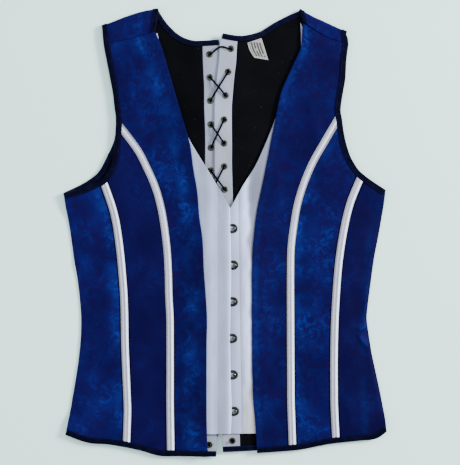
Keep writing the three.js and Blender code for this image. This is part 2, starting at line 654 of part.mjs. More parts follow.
function backStation(side, pair) {
  return { outer: pair.outer, up: UP, stack: BACK_STACK, face: side.backLow };
}

// The last flat station before the roll, square to it
function footStation(side, pair, neighbour) {
  const inward = neighbour.outer.clone().sub(pair.outer).setZ(0).normalize();
  return { ...backStation(side, pair), inward };
}

function rolledStation(pair, neighbour) {
  const inward = neighbour.outer.clone().sub(pair.outer).normalize();
  const up = pair.inner.clone().sub(pair.outer).normalize();
  return { outer: pair.outer, up, inward, stack: BACK_CLOTH };
}

function frontStation(side, pair) {
  const face = (x, y) => side.frontLow(x, y) + FRONT_CLOTH;
  return { outer: pair.outer, up: DOWN, stack: FRONT_CLOTH, face };
}

function addBindings(side, back, front) {
  const { name, out } = side;
  const neckRow = CENTRE_LEVELS.length - 1;
  const underarmRow = CENTRE_LEVELS.indexOf(UNDERARM_LEVEL);
  const boneTop = BONE_LEVELS.length - 1;
  const last = (row) => row.at(-1);
  const armhole = [
    ...back.flat.slice(underarmRow, -1).map((row) => backStation(side, last(row))),
    footStation(side, last(back.flat.at(-1)), back.flat.at(-1).at(-2)),
    ...back.rolled.map((row) => rolledStation(last(row), row.at(-2))),
    ...front.centre.slice(boneTop + 1, -1).reverse().map((row) => frontStation(side, last(row))),
    ...front.middle.at(-1).map((pair) => frontStation(side, pair)),
    ...front.side.at(-1).slice(1).map((pair) => frontStation(side, pair)),
  ];
  const neck = [
    ...back.flat.slice(neckRow, -1).map((row) => backStation(side, row[0])),
    footStation(side, ...back.flat.at(-1).slice(0, 2)),
    ...back.rolled.map((row) => rolledStation(row[0], row[1])),
  ];
  const frontHem = [...front.centre[0].slice(0, -1), ...front.middle[0].slice(0, -1), ...front.side[0]]
    .map((pair) => frontStation(side, pair));
  const backHem = back.flat[0].map((pair) => backStation(side, pair));
  add(`armhole_binding_${name}`, bindingOf(armhole, -out), 'binding');
  add(`neck_binding_${name}`, bindingOf(neck, out), 'binding');
  add(`hem_binding_front_${name}`, bindingOf(frontHem, out), 'binding');
  add(`hem_binding_back_${name}`, bindingOf(backHem, -out), 'binding');
}

// A boning tape along a bone line, cut to meet the bindings at both ends
function tapeRows(side, bone) {
  const { line } = side;
  const offsets = [-TAPE_WIDTH / 2, -TAPE_WIDTH / 4, 0, TAPE_WIDTH / 4, TAPE_WIDTH / 2];
  const heights = [TAPE_EDGE, TAPE_RIDGE, TAPE_VALLEY, TAPE_RIDGE, TAPE_EDGE];
  const keep = BINDING_WIDTH + TAPE_END_GAP;
  const place = (s, offset) => {
    const along = bone.at(s + TAPE_TANGENT).sub(bone.at(s - TAPE_TANGENT)).normalize();
    return bone.at(s).add(new THREE.Vector2(along.y, -along.x).multiplyScalar(offset));
  };
  const clearEnd = (offset, from, step, edge) => {
    let s = from + step;
    while (edge.distance(...place(s, offset).toArray()) < keep) {
      s += step;
    }
    return s;
  };
  const starts = offsets.map((offset) => clearEnd(offset, 0, TAPE_STEP, line.frontHem));
  const ends = offsets.map((offset) => clearEnd(offset, 1, -TAPE_STEP, line.armhole));
  return BONE_LEVELS.map((level) => offsets.map((offset, j) => {
    const p = place(starts[j] + (ends[j] - starts[j]) * level, offset);
    const z = side.frontLow(p.x, p.y) + FRONT_CLOTH + TAPE_AIR;
    return { outer: new THREE.Vector3(p.x, p.y, z + heights[j]), inner: new THREE.Vector3(p.x, p.y, z) };
  }));
}

function eyeletPlaces(side) {
  const first = side.line.eyelets.at(1).y;
  const last = side.line.eyelets.at(0).y;
  return Array.from({ length: EYELET_PAIRS }, (_, i) => {
    const y = first + (last - first) * i / (EYELET_PAIRS - 1);
    return new THREE.Vector2(side.line.eyelets.xAt(y), y);
  });
}

const stackTop = (side, p) => side.backLow(p.x, p.y) + BACK_STACK;

function eyeletRing(side, place) {
  const rise = stackTop(side, place) + EYELET_AIR;
  const profile = [[EYELET_INNER, 0], [EYELET_OUTER, 0], [EYELET_OUTER - EYELET_BEVEL, EYELET_WALL],
    [EYELET_INNER, EYELET_WALL], [EYELET_INNER, 0]].map(([r, h]) => new THREE.Vector2(r, h));
  const ring = new THREE.LatheGeometry(profile, ROUND_SIDES);
  return ring.rotateX(Math.PI / 2).translate(place.x, place.y, rise);
}

// One lace through all the eyelets: a bar across the top pair, then crossings to the hem
function lacePoints(left, right) {
  const sides = [left, right];
  const places = sides.map(eyeletPlaces);
  const overEyelet = EYELET_AIR + EYELET_WALL + AIR + LACE_RADIUS;
  const inside = (k, i) => stackTop(sides[k], places[k][i]) + overEyelet;
  const outside = (k, i) => sides[k].backLow(places[k][i].x, places[k][i].y) - AIR - LACE_RADIUS;
  const step = 2 * LACE_RADIUS + AIR;
  const near = (k, i, towards, z) => {
    const way = towards.clone().sub(places[k][i]).normalize().multiplyScalar(TURN_OUT);
    return new THREE.Vector3(places[k][i].x + way.x, places[k][i].y + way.y, z);
  };
  // From the left eyelet of a pair to the right eyelet of the next, or the other way round
  const crossing = (from, to, isInside, above, straight = false) => {
    const [a, b] = from.k === 0 ? [from, to] : [to, from];
    const start = places[0][a.i];
    const end = places[1][b.i];
    const on = (x, z) => {
      const share = (x - start.x) / (end.x - start.x);
      return new THREE.Vector3(x, start.y + (end.y - start.y) * share, z);
    };
    const edgeY = (start.y + end.y) / 2;
    const middleX = (start.x + end.x) / 2;
    const rise = above ? step : 0;
    let points = [];
    if (isInside) {
      const edge = on(right.line.centre.xAt(edgeY) - EDGE_CLEARANCE, 0);
      edge.z = stackTop(right, { x: edge.x + EDGE_CLEARANCE, y: edge.y }) + LACE_AIR + LACE_RADIUS;
      const middle = on(middleX, edge.z + rise);
      points = [near(0, a.i, end, inside(0, a.i)), edge, middle, near(1, b.i, start, inside(1, b.i))];
    } else {
      const edgeX = left.line.centre.xAt(edgeY) + EDGE_CLEARANCE;
      const edge = on(edgeX, LEFT_LIFT - AIR - LACE_RADIUS);
      const middle = on(middleX, LACE_RADIUS + LACE_REST + rise);
      points = [near(0, a.i, end, outside(0, a.i)), middle, edge];
    }
    const edgeIndex = isInside ? 1 : 2;
    const edgeFits = Math.abs(points[edgeIndex].x - middleX) > MIDDLE_CLEARANCE;
    const kept = straight
      ? [points[0], points[1], points[3]]
      : points.filter((p, j) => j !== edgeIndex || edgeFits);
    return from.k === 0 ? kept : kept.reverse();
  };
  const through = (k, i, downwards) => {
    const p = places[k][i];
    const levels = [inside(k, i), outside(k, i)];
    const points = levels.map((z) => new THREE.Vector3(p.x, p.y, z));
    return downwards ? points : points.reverse();
  };
  const strand = (startSide, above) => {
    const points = [];
    for (let i = 0; i < EYELET_PAIRS - 1; i += 1) {
      const k = (startSide + i) % 2;
      const isInside = i % 2 === 1;
      points.push(...through(k, i, !isInside));
      points.push(...crossing({ k, i }, { k: 1 - k, i: i + 1 }, isInside, above));
    }
    const endSide = (startSide + EYELET_PAIRS - 1) % 2;
    return [...points, ...through(endSide, EYELET_PAIRS - 1, false)];
  };
  const first = strand(0, false).reverse();
  const second = strand(1, true);
  const bar = crossing({ k: 0, i: 0 }, { k: 1, i: 0 }, true, false, true);
  const knotEnd = (point) => KNOT_RISES.map((rise, i) => ({
    at: point.clone().setZ(point.z + rise),
    radius: [KNOT_RADIUS, KNOT_RADIUS, LACE_RADIUS][i],
  }));
  const path = [...first, ...bar, ...second].map((at) => ({ at, radius: LACE_RADIUS }));
  return [...knotEnd(path[0].at).reverse(), ...path, ...knotEnd(path.at(-1).at)];
}

function addBusk(left, right) {
  for (let i = 0; i < BUSK_COUNT; i += 1) {
    const y = BUSK_TOP_Y - BUSK_PITCH * i;
    const edge = left.line.innerEdge.xAt(y);
    const cloth = right.innerLow(edge + LOOP_ARC_OFFSET, y) + INNER_CLOTH;
    const z = cloth + AIR + LOOP_WIRE;
    const start = edge + LOOP_START;
    const arc = LOOP_ANGLES.map((degrees) => {
      const angle = THREE.MathUtils.degToRad(degrees);
      const along = LOOP_ARC_OFFSET + LOOP_HALF_HEIGHT * Math.cos(angle);
      return new THREE.Vector3(edge + along, y + LOOP_HALF_HEIGHT * Math.sin(angle), z);
    });
    const foot = new THREE.Vector3(start, y - LOOP_HALF_HEIGHT, z);
    const top = new THREE.Vector3(start, y + LOOP_HALF_HEIGHT, z);
    const wire = [foot, ...arc, top].map((at) => ({ at, radius: LOOP_WIRE }));
    add(`busk_loop_${i + 1}`, tube(wire, LOOP_SIDES), 'steel');
    const profile = STUD_PROFILE.map(([r, h]) => new THREE.Vector2(r, h));
    const stud = new THREE.LatheGeometry(profile, ROUND_SIDES);
    stud.rotateX(Math.PI / 2).translate(edge + STUD_OFFSET, y, cloth + AIR);
    add(`busk_stud_${i + 1}`, stud, 'steel');
  }
}

function labelRows(side) {
  const { x, y, width, height, turn } = LABEL;
  const shares = [-0.5, 0, 0.5];
  const low = (px, py) => side.backLow(px, py) + BACK_STACK + LABEL_AIR;
  const rows = shares.map((v) => shares.map((u) => new THREE.Vector2(u * width, v * height)
    .rotateAround(new THREE.Vector2(), -turn).add(new THREE.Vector2(x, y))));
  return laid(rows, low, LABEL_CLOTH, false);
}

const wasm = await Module();
wasm.setup();

const left = sideOf('left');
const right = sideOf('right');
for (const side of [left, right]) {
  const { name } = side;
  const places = eyeletPlaces(side);
  const back = backRows(side);
  const front = frontRows(side);
  add(`back_${name}`, punched(wall([...back.flat, ...back.rolled]), places, wasm), 'blue');
  add(`back_lining_${name}`, wall(liningRows(side)), 'black');
  add(`eyelet_strip_${name}`, punched(wall(stripRows(side)), places, wasm), 'satin');
  add(`inner_front_${name}`, wall(innerFrontRows(side)), 'satin');
  add(`front_centre_${name}`, wall(front.centre), 'blue');
  add(`front_middle_${name}`, wall(front.middle), 'blue');
  add(`front_side_${name}`, wall(front.side), 'blue');
  add(`bone_tape_inner_${name}`, wall(tapeRows(side, front.inner)), 'tape');
  add(`bone_tape_outer_${name}`, wall(tapeRows(side, front.outer)), 'tape');
  addBindings(side, back, front);
  places.forEach((place, i) => {
    const showing = i < TOP_PAIRS_IN_SIGHT || i === EYELET_PAIRS - 1;
    if (showing) {
      add(`eyelet_${name}_${i + 1}`, eyeletRing(side, place), 'steel');
    }
  });
}
add('lace', tube(lacePoints(left, right), LACE_SIDES), 'lace');
add('label', wall(labelRows(right)), 'label');
addBusk(left, right);

export default waistcoat;
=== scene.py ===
"""Boned waistcoat with a laced back, laid flat with its front up.

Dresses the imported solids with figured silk, satin, bindings, boning tapes, stitches, eyelets,
a busk and a lace. Plans are in millimetres from above: +X to the right, +Y towards the neck,
+Z up from the table. "left" and "right" name the sides as seen from above.
"""

import math

import bpy
import numpy as np
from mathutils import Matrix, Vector


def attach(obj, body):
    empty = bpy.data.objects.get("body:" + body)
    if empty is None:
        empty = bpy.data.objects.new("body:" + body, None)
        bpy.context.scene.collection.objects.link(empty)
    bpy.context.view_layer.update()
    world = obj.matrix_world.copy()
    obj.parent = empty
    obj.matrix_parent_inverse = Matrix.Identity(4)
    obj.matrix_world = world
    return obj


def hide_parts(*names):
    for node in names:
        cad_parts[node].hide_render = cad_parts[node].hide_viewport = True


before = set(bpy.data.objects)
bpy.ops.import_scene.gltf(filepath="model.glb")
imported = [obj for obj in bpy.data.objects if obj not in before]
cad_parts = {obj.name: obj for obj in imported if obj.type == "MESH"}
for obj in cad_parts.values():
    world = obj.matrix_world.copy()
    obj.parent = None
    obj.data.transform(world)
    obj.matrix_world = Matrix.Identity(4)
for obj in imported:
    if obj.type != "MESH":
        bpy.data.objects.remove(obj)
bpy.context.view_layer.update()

bl_info = {
    "name": "Boned waistcoat",
    "version": (1, 0, 0),
    "blender": (4, 5, 0),
    "location": "View3D > Sidebar > Waistcoat",
    "description": "Builds a boned waistcoat with a laced back, laid flat",
    "category": "Object",
}

BODY = "root"
SIDES = ("left", "right")
MM = 0.001

# Shift that puts the middle of the garment's box over the origin
CENTRING = np.array([1.28, -1.67])

# Cloth thicknesses, with the air that the layers keep between them
BACK_CLOTH = 1.2
LINING = 1.0
FRONT_CLOTH = 1.4
INNER_CLOTH = 1.2
LABEL_CLOTH = 0.5
LABEL_AIR = 0.5
AIR = 0.3
FRONT_AIR = 0.6
LINING_AIR = 0.65
BACK_STACK = BACK_CLOTH + LINING_AIR + LINING

# Bias binding: a folded strip that hugs an edge
BINDING_WIDTH = 7.2
BINDING_WALL = 0.8
BINDING_AIR = 0.4
TURN_AIR = 0.6
BINDING_STITCH_IN = 1.3
BINDING_TOP_MIDDLE = 14.2
BINDING_FOLD = 2.4

# Boning tapes, with two channels raised along each
TAPE_WIDTH = 11.0
TAPE_EDGE = 0.5
TAPE_VALLEY = 0.75
TAPE_RIDGE = 1.6
TAPE_END_GAP = 0.6
TAPE_AIR = 0.5
TAPE_COLUMNS = 23
RIDGE_WIDTH = 1.35
VALLEY_WIDTH = 0.8

# A bone line is redrawn through every eighth of 120 points, without the twelve at either end
BONE_STEPS = 120
BONE_TRIM = 12
BONE_STRIDE = 8

# Laced back: strips and eyelets. The drift lowers the eyelets near the neck
STRIP_WIDTH = 26.0
STRIP_END = 0.0025
EYELET_PAIRS = 18
SOLID_EYELETS = (1, 2, 3, 4, 5, 6, 7, 18)
EYELET_DRIFT = {"left": 2.2, "right": 3.4}
EYELET_AIR = 0.25
EYELET_SEAT = 0.4
EYELET_FLANGE = 0.9
EYELET_WALL = 0.22
HOLE_RADIUS = 2.7
HOLE_SIDES = 16
HOLE_REACH = (-20.0, 40.0)

# The lace, which is pressed flatter where it runs below this height, under the back
LACE_RADIUS = 1.35
LACE_PRESSED = 0.9
PRESSED_BELOW = 3.2
LACE_REST = 0.05
LACE_AIR = 0.5
LACE_SIDES = 10
TOP_BAR_ARCH = 6.8
TOP_BAR_LEAN = 5.0
TURN_OUT = 3.4
EDGE_CLEARANCE = 1.2
MIDDLE_CLEARANCE = 2.5
KNOT_COIL = 1.35
KNOT_TURNS = 1.6
KNOT_STRAND = 0.85

# Front busk: loops over studs
BUSK_TOP_Y = 7.5
BUSK_PITCH = 54.75
BUSK_COUNT = 6
LOOP_HALF_HEIGHT = 6.05
LOOP_ARC_OFFSET = 3.9
LOOP_SOLID_BAND = 0.95
LOOP_SEAT = 0.85
LOOP_FLATNESS = 0.6
LOOP_FACETS = 12
STUD_OFFSET = 5.0
STUD_PROFILE = ((0, 0), (1.5, 0.0), (1.5, 1.5), (1.7, 2.2), (2.4, 2.5), (2.8, 2.8), (2.75, 3.15), (2.3, 3.6),
                (1.6, 3.85), (1.0, 3.7), (0, 3.6))

# Heights above the table, and where they rise and fall
EDGE_RISE = 1.2
EDGE_RISE_FLAT = 13
EDGE_RISE_END = 42
BACK_LIFT_X = {"left": (-80, -28), "right": (0, 85)}
LEFT_LIFT = 4.0
OVERLAP_LIFT = 3.1
OVERLAP_END_Y = -280
OVERLAP_FULL_Y = -150
INNER_REST = 4.8
INNER_HEM = -300.0
INNER_TROUGH = -0.25
FRONT_TROUGH = -0.3
INNER_RISE = {"left": 10.0, "right": 8.3}
INNER_RISE_X = {"left": (-86, -8), "right": (8, 95)}
FRONT_STEP = INNER_CLOTH + FRONT_AIR
SEAM_HEIGHT = 1.5
SEAM_RISE = 1.6
SEAM_RISE_END = 6
SIDE_RISE_END = 45
SIDE_RISE_START = 13
SIDE_RISE_FULL = 40
FRONT_REST = INNER_REST + FRONT_STEP
SEAM_DROP = FRONT_REST - SEAM_HEIGHT
FRONT_TOP = FRONT_REST + FRONT_CLOTH
FOLD_RADIUS = FRONT_TOP / 2
PANEL_SEAM = 0.25
SHOULDER_SEAM = 0.35
LINING_INSET = 7.5
LINING_EDGE = 1.5
LINING_ARMHOLE_START = 0.03
COLUMN_MARGIN = 10

# Samples of a line, steps between its points, and a cloth's grid: its cell and its closer cells at the rim
SAMPLES = 160
CURVE_STEPS = 48
CELL = 2.8
RIM_CELLS = (0.0, 0.1, 0.35, 0.75, 1.4, 2.4)

# Width or length of a sheet's grid, with its cell; panels are (width, length) with the usual cell
BACK_WIDTH = (210, 3.6)
BACK_LENGTH = (660, 3.6)
LINING_GRID = ((185, 4.5), (640, 4.5))
STRIP_GRID = ((STRIP_WIDTH, 2.6), (615, 3.0))
INNER_GRID = ((80, 1.7), (630, 2.8))
PANEL_SIZES = {"centre": (62, 640), "middle": (66, 450), "side": (62, 380)}

# Columns of a panel's grid that lie under a tape, and columns of a tape that are stitched
TAPED_COLUMNS = {"centre": (-1,), "middle": (0, -1), "side": (0,)}
TAPE_STITCHED = (1, 11, -2)
STRIP_STITCHES = (2.0, STRIP_WIDTH - 1.6)
STITCH_SWAY = 0.09

# Rounded edges: how far in the two faces are drawn together, and what is left of their gap at the edge
EDGE_SOFT = 0.9
EDGE_LEFT = 0.25

# Outlines as (x, y), from the hem up or from the underarm up, seen from above
OUTLINES = {
    "left": {
        "out": -1,
        "side": [(-241, -301), (-238.5, -289), (-232, -253), (-226, -217), (-222, -190), (-218.5, -154),
                 (-218.5, -118), (-223, -73), (-229, -37), (-234, -1), (-240, 35), (-243.8, 59)],
        "armhole": [(-243.8, 59), (-233, 62), (-216, 67), (-198, 74), (-186, 81), (-177.5, 90),
                    (-172, 101.5), (-168.6, 115), (-166, 133), (-164, 162), (-164, 174), (-166, 188),
                    (-168, 206), (-171, 224), (-178, 260), (-182.5, 284)],
        "back_armhole": [(-243.8, 60), (-219, 71.5), (-204, 80.5), (-194, 88.5), (-187, 97.5), (-178, 115),
                         (-169.5, 133), (-165.5, 148), (-164.5, 170), (-167, 206), (-173, 242),
                         (-181.5, 281), (-186, 313)],
        "fold": [(-103.5, 338), (-123.5, 335), (-151.5, 326), (-186, 313)],
        "seam": [(-106.5, 303.5), (-144, 292), (-182.5, 284)],
        "neck": [(-9.4, 290), (-31.5, 289), (-51, 290), (-71, 299), (-87, 314), (-97, 327), (-103.5, 338)],
        "centre": [(-14.7, -334), (-11, -150), (-8, 0), (-5.2, 129), (-6.7, 190), (-7.0, 222),
                   (-8.2, 244), (-9.0, 270), (-9.4, 290)],
        "back_hem": [(-14.7, -334), (-60, -333), (-100, -331), (-131, -323), (-172, -315), (-207, -312),
                     (-241, -301)],
        "front_edge": [(-27, -333), (-29, -280), (-29, -172), (-28.5, -122), (-33, -55), (-35, -10),
                       (-40, 26), (-43, 62), (-49, 98), (-54, 134), (-64.5, 170), (-75, 206), (-85.5, 242),
                       (-96, 278),
                       (-106.5, 303.5)],
        "front_hem": [(-27, -333), (-69, -333), (-99.5, -332.5), (-131, -324), (-172.5, -316),
                      (-207, -313), (-241, -301)],
        "inner_bone": [(-84, -307), (-84, -136), (-85.5, -100), (-87, -46), (-90, -10), (-95, 26),
                       (-103.5, 62), (-118.5, 98), (-138, 134), (-152, 152), (-164, 166)],
        "outer_bone": [(-147, -307), (-148.5, -244), (-151.5, -172), (-153, -100), (-157, -46), (-161, -10),
                       (-167, 26), (-175, 53), (-181.5, 71), (-186, 81)],
        "inner_edge": [(7, -300), (9, -260), (7.8, -235), (6.2, -150), (7.8, -60), (6.3, 22), (6, 38)],
        "inner_neck": [(6, 38), (-14, 73), (-31.5, 102), (-45.5, 124.5), (-57, 145), (-70, 171),
                       (-79, 206), (-88.5, 242), (-98, 276), (-103, 301)],
        "inner_outer": [(-84, -301), (-84, -136), (-90, -10), (-104, 62), (-128, 150), (-142, 220),
                        (-150, 288)],
        "inner_hem": [(7, -300), (-38, -301), (-84, -301)],
        "inner_top": [(-103, 301), (-150, 288)],
        "eyelets": [(-25, -317), (-23.3, 59), (-22.4, 129), (-23.5, 198), (-24.7, 269)],
    },
    "right": {
        "out": 1,
        "side": [(241, -296), (238.5, -274), (233, -244), (226, -211), (219, -178), (214.5, -149),
                 (212, -130), (213, -112), (218, -73), (223, -37), (230, -1), (236, 35), (239.5, 64)],
        "armhole": [(239.5, 64), (220.5, 76.5), (208, 85.5), (198, 95), (190.5, 106.5), (185.5, 116),
                    (179.5, 134), (175.5, 152), (173, 170), (171, 184), (172, 197), (175, 215), (178, 233),
                    (179.5, 260), (182.5, 283.5)],
        "back_armhole": [(239.5, 64), (219.5, 76), (207, 85), (197, 94.5), (184.5, 116), (178.5, 134),
                         (174.5, 152), (170, 184), (174, 215), (177, 233), (180, 262), (184, 292),
                         (181, 304)],
        "fold": [(112, 337), (123, 331.3), (134.5, 325), (149.5, 318), (161, 313), (181, 304)],
        "seam": [(116, 317), (123.5, 312), (132, 306.5), (142.5, 299.5), (153, 294), (163.5, 290),
                 (182.5, 283.5)],
        "neck": [(-6.5, 299.5), (7, 297), (26, 296), (53, 304), (67.5, 314), (82.5, 323), (97.5, 331),
                 (112, 337)],
        "centre": [(-4.7, -327), (-9.5, -150), (-14, 0), (-17, 95), (-17.1, 129), (-17.4, 185), (-15.9, 209),
                   (-13.5, 236), (-11, 256), (-10.2, 270), (-9.1, 287), (-6.5, 299.5)],
        "back_hem": [(-4.7, -327), (45, -325), (106, -322), (154, -313), (198, -308), (224, -305),
                     (241, -296)],
        "front_edge": [(46.5, -328), (43.5, -280), (40.5, -244), (39, -172), (39, -46), (42, -1), (46.5, 35),
                       (54, 71), (63, 116), (73.5, 170), (82.5, 211), (91.5, 233), (100.5, 253), (112, 278),
                       (114, 296), (115.5, 316)],
        "front_hem": [(46.5, -328), (106, -324), (154, -315), (198, -310), (224.5, -307), (241, -296)],
        "inner_bone": [(98, -307), (97, -172), (97, -46), (99, -10), (104, 26), (109.5, 53), (115.5, 71),
                       (122, 89), (130.5, 107), (151, 143), (162, 161), (173.5, 178)],
        "outer_bone": [(163, -300), (162, -208), (163, -136), (166, -82), (169, -46), (174, -10), (181, 26),
                       (189, 53), (197, 71), (206, 90)],
        "inner_edge": [(2, -300), (2, -130), (2, 36)],
        "inner_neck": [(2, 36), (7.5, 40), (24.5, 70.5), (44.5, 103), (62.5, 143), (73.8, 172.5), (85, 208),
                       (94.5, 232), (103.5, 251), (112, 274), (112.5, 296), (111.5, 317)],
        "inner_outer": [(97, -300), (97, -172), (99, -10), (112, 62), (132, 150), (146, 220), (153, 286)],
        "inner_hem": [(2, -300), (50, -300), (97, -300)],
        "inner_top": [(111.5, 317), (121, 305), (153, 286)],
        "eyelets": [(9.5, -311), (-1.8, 64), (-2.5, 98), (-2.9, 169), (-0.6, 206), (3, 240), (7.5, 277)],
    },
}
FOLD_NORMAL = {"left": (-0.28, 0.96), "right": (0.43, 0.903)}
LABEL_CORNERS = ((42.5, 264.0), (63.6, 260.7), (53.2, 293.4), (32.2, 286.0))

# Stitched channels beside the busk, from the top down
BUSK_CHANNEL = {
    "left": [(-11.2, 36), (-10.9, -180), (-10.0, -300)],
    "right": [(20.0, 30), (20.2, -70), (21.0, -130), (22.6, -190), (24.2, -300)],
}

# Shares of the length at which the edges of a panel change over
BACK_NECK_ROW = 0.93
UNDERARM_LEVEL = 0.59
BONE_TOP_ROW = 0.73
INNER_NECK_ROW = 0.55


def smoothstep(value, low, high):
    """0 below low, 1 above high and an eased rise between them."""
    share = np.clip((value - low) / (high - low), 0.0, 1.0)
    return share * share * (3.0 - 2.0 * share)


def unit(vectors):
    """The same directions, at a length of 1."""
    return vectors / np.linalg.norm(vectors, axis=-1)[..., None]


def circle(sides):
    """Directions round a circle, as (x, y) rows."""
    angles = 2 * math.pi * np.arange(sides) / sides
    return np.stack([np.cos(angles), np.sin(angles)], axis=1)


class Line:
    """A smooth line through a few points, kept as evenly spaced samples."""

    def __init__(self, samples):
        self.samples = np.asarray(samples, dtype=float)
        self.shares = np.linspace(0.0, 1.0, len(self.samples))

    @classmethod
    def through(cls, points):
        points = np.asarray(points, dtype=float)
        padded = np.vstack([points[:1], points, points[-1:]])
        t = np.linspace(0.0, 1.0, CURVE_STEPS, endpoint=False)[:, None]
        parts = []
        for i in range(len(points) - 1):
            before, start, end, after = padded[i:i + 4]
            v0 = (end - before) / 2
            v1 = (after - start) / 2
            parts.append((2 * start - 2 * end + v0 + v1) * t ** 3
                         + (3 * end - 3 * start - 2 * v0 - v1) * t ** 2 + v0 * t + start)
        return cls(even_path(np.vstack([*parts, points[-1:]]), SAMPLES))

    def at(self, share):
        share = np.clip(share, 0.0, 1.0)
        return np.stack([np.interp(share, self.shares, self.samples[:, k]) for k in range(2)], axis=-1)

    def part(self, start, end):
        return Line(self.at(np.linspace(start, end, SAMPLES + 1)))

    def moved(self, shift):
        return Line(self.samples + np.asarray(shift))

    def set_off(self, distance):
        """The line moved sideways, to its left for a positive distance."""
        along = unit(np.gradient(self.samples, axis=0))
        return Line(self.samples + np.stack([-along[:, 1], along[:, 0]], axis=1) * distance)

    def nearest(self, point):
        """Share of the line at which it comes nearest to a point."""
        gaps = np.linalg.norm(self.samples - point, axis=1)
        return self.shares[int(np.argmin(gaps))]

    def meets(self, other):
        """Share of the line at which it comes nearest to another line."""
        shares = np.linspace(0.0, 1.0, 1501)
        return shares[int(np.argmin(other.distance(self.at(shares))))]

    def x_at(self, y):
        """x where the line passes a height y, for lines that run up or down."""
        order = np.argsort(self.samples[:, 1])
        return np.interp(y, self.samples[order, 1], self.samples[order, 0])

    def distance(self, points):
        """Distance from each plan point to the line."""
        points = np.asarray(points, dtype=float)
        flat = points.reshape(-1, 2)
        starts = self.samples[:-1]
        spans = np.diff(self.samples, axis=0)
        lengths = np.maximum((spans ** 2).sum(axis=1), 1e-9)
        best = np.empty(len(flat))
        for first in range(0, len(flat), 20000):
            block = flat[first:first + 20000]
            offset = block[:, None, :] - starts[None]
            t = np.clip((offset * spans).sum(axis=2) / lengths, 0.0, 1.0)
            gap = offset - t[..., None] * spans
            best[first:first + 20000] = np.sqrt((gap ** 2).sum(axis=2).min(axis=1))
        return best.reshape(points.shape[:-1])


def even_path(points, count):
    """The same path, resampled to evenly spaced points."""
    points = np.asarray(points, dtype=float)
    steps = np.linalg.norm(np.diff(points, axis=0), axis=1)
    lengths = np.concatenate([[0.0], np.cumsum(steps)])
    targets = np.linspace(0.0, lengths[-1], count + 1)
    return np.stack([np.interp(targets, lengths, points[:, k]) for k in range(points.shape[1])], axis=1)


def two_part(first, second, row):
    """A boundary made of two lines that meet at a row."""
    def edge(v):
        v = np.asarray(v, dtype=float)
        low = first.at(v / row)
        high = second.at((v - row) / (1 - row))
        return np.where((v <= row)[..., None], low, high)
    return edge


def patch(left, right, bottom, top):
    """Plan of a panel stretched between its four edges."""
    zero, one = np.array([0.0]), np.array([1.0])
    corners = [left(zero)[0], right(zero)[0], left(one)[0], right(one)[0]]

    def pinned(edge, start, end):
        shifts = (start - edge(zero)[0], end - edge(one)[0])
        return lambda u: edge(u) + (1 - u)[:, None] * shifts[0] + u[:, None] * shifts[1]

    low = pinned(bottom, corners[0], corners[1])
    high = pinned(top, corners[2], corners[3])

    def plan(u, v):
        uu, vv = u[None, :, None], v[:, None, None]
        grid = low(u)[None] * (1 - vv) + high(u)[None] * vv
        grid = grid + left(v)[:, None] * (1 - uu) + right(v)[:, None] * uu
        flat = corners[0] * (1 - uu) * (1 - vv) + corners[1] * uu * (1 - vv)
        return grid - flat - corners[2] * (1 - uu) * vv - corners[3] * uu * vv

    return plan


def fitted(edge, fold, set_back, end):
    """An edge whose last stretch moves over, to end on the line set back from the fold."""
    shift = set_back.at(end) - fold.at(end)
    return lambda v: edge(v) + smoothstep(v, BACK_NECK_ROW, 1.0)[:, None] * shift


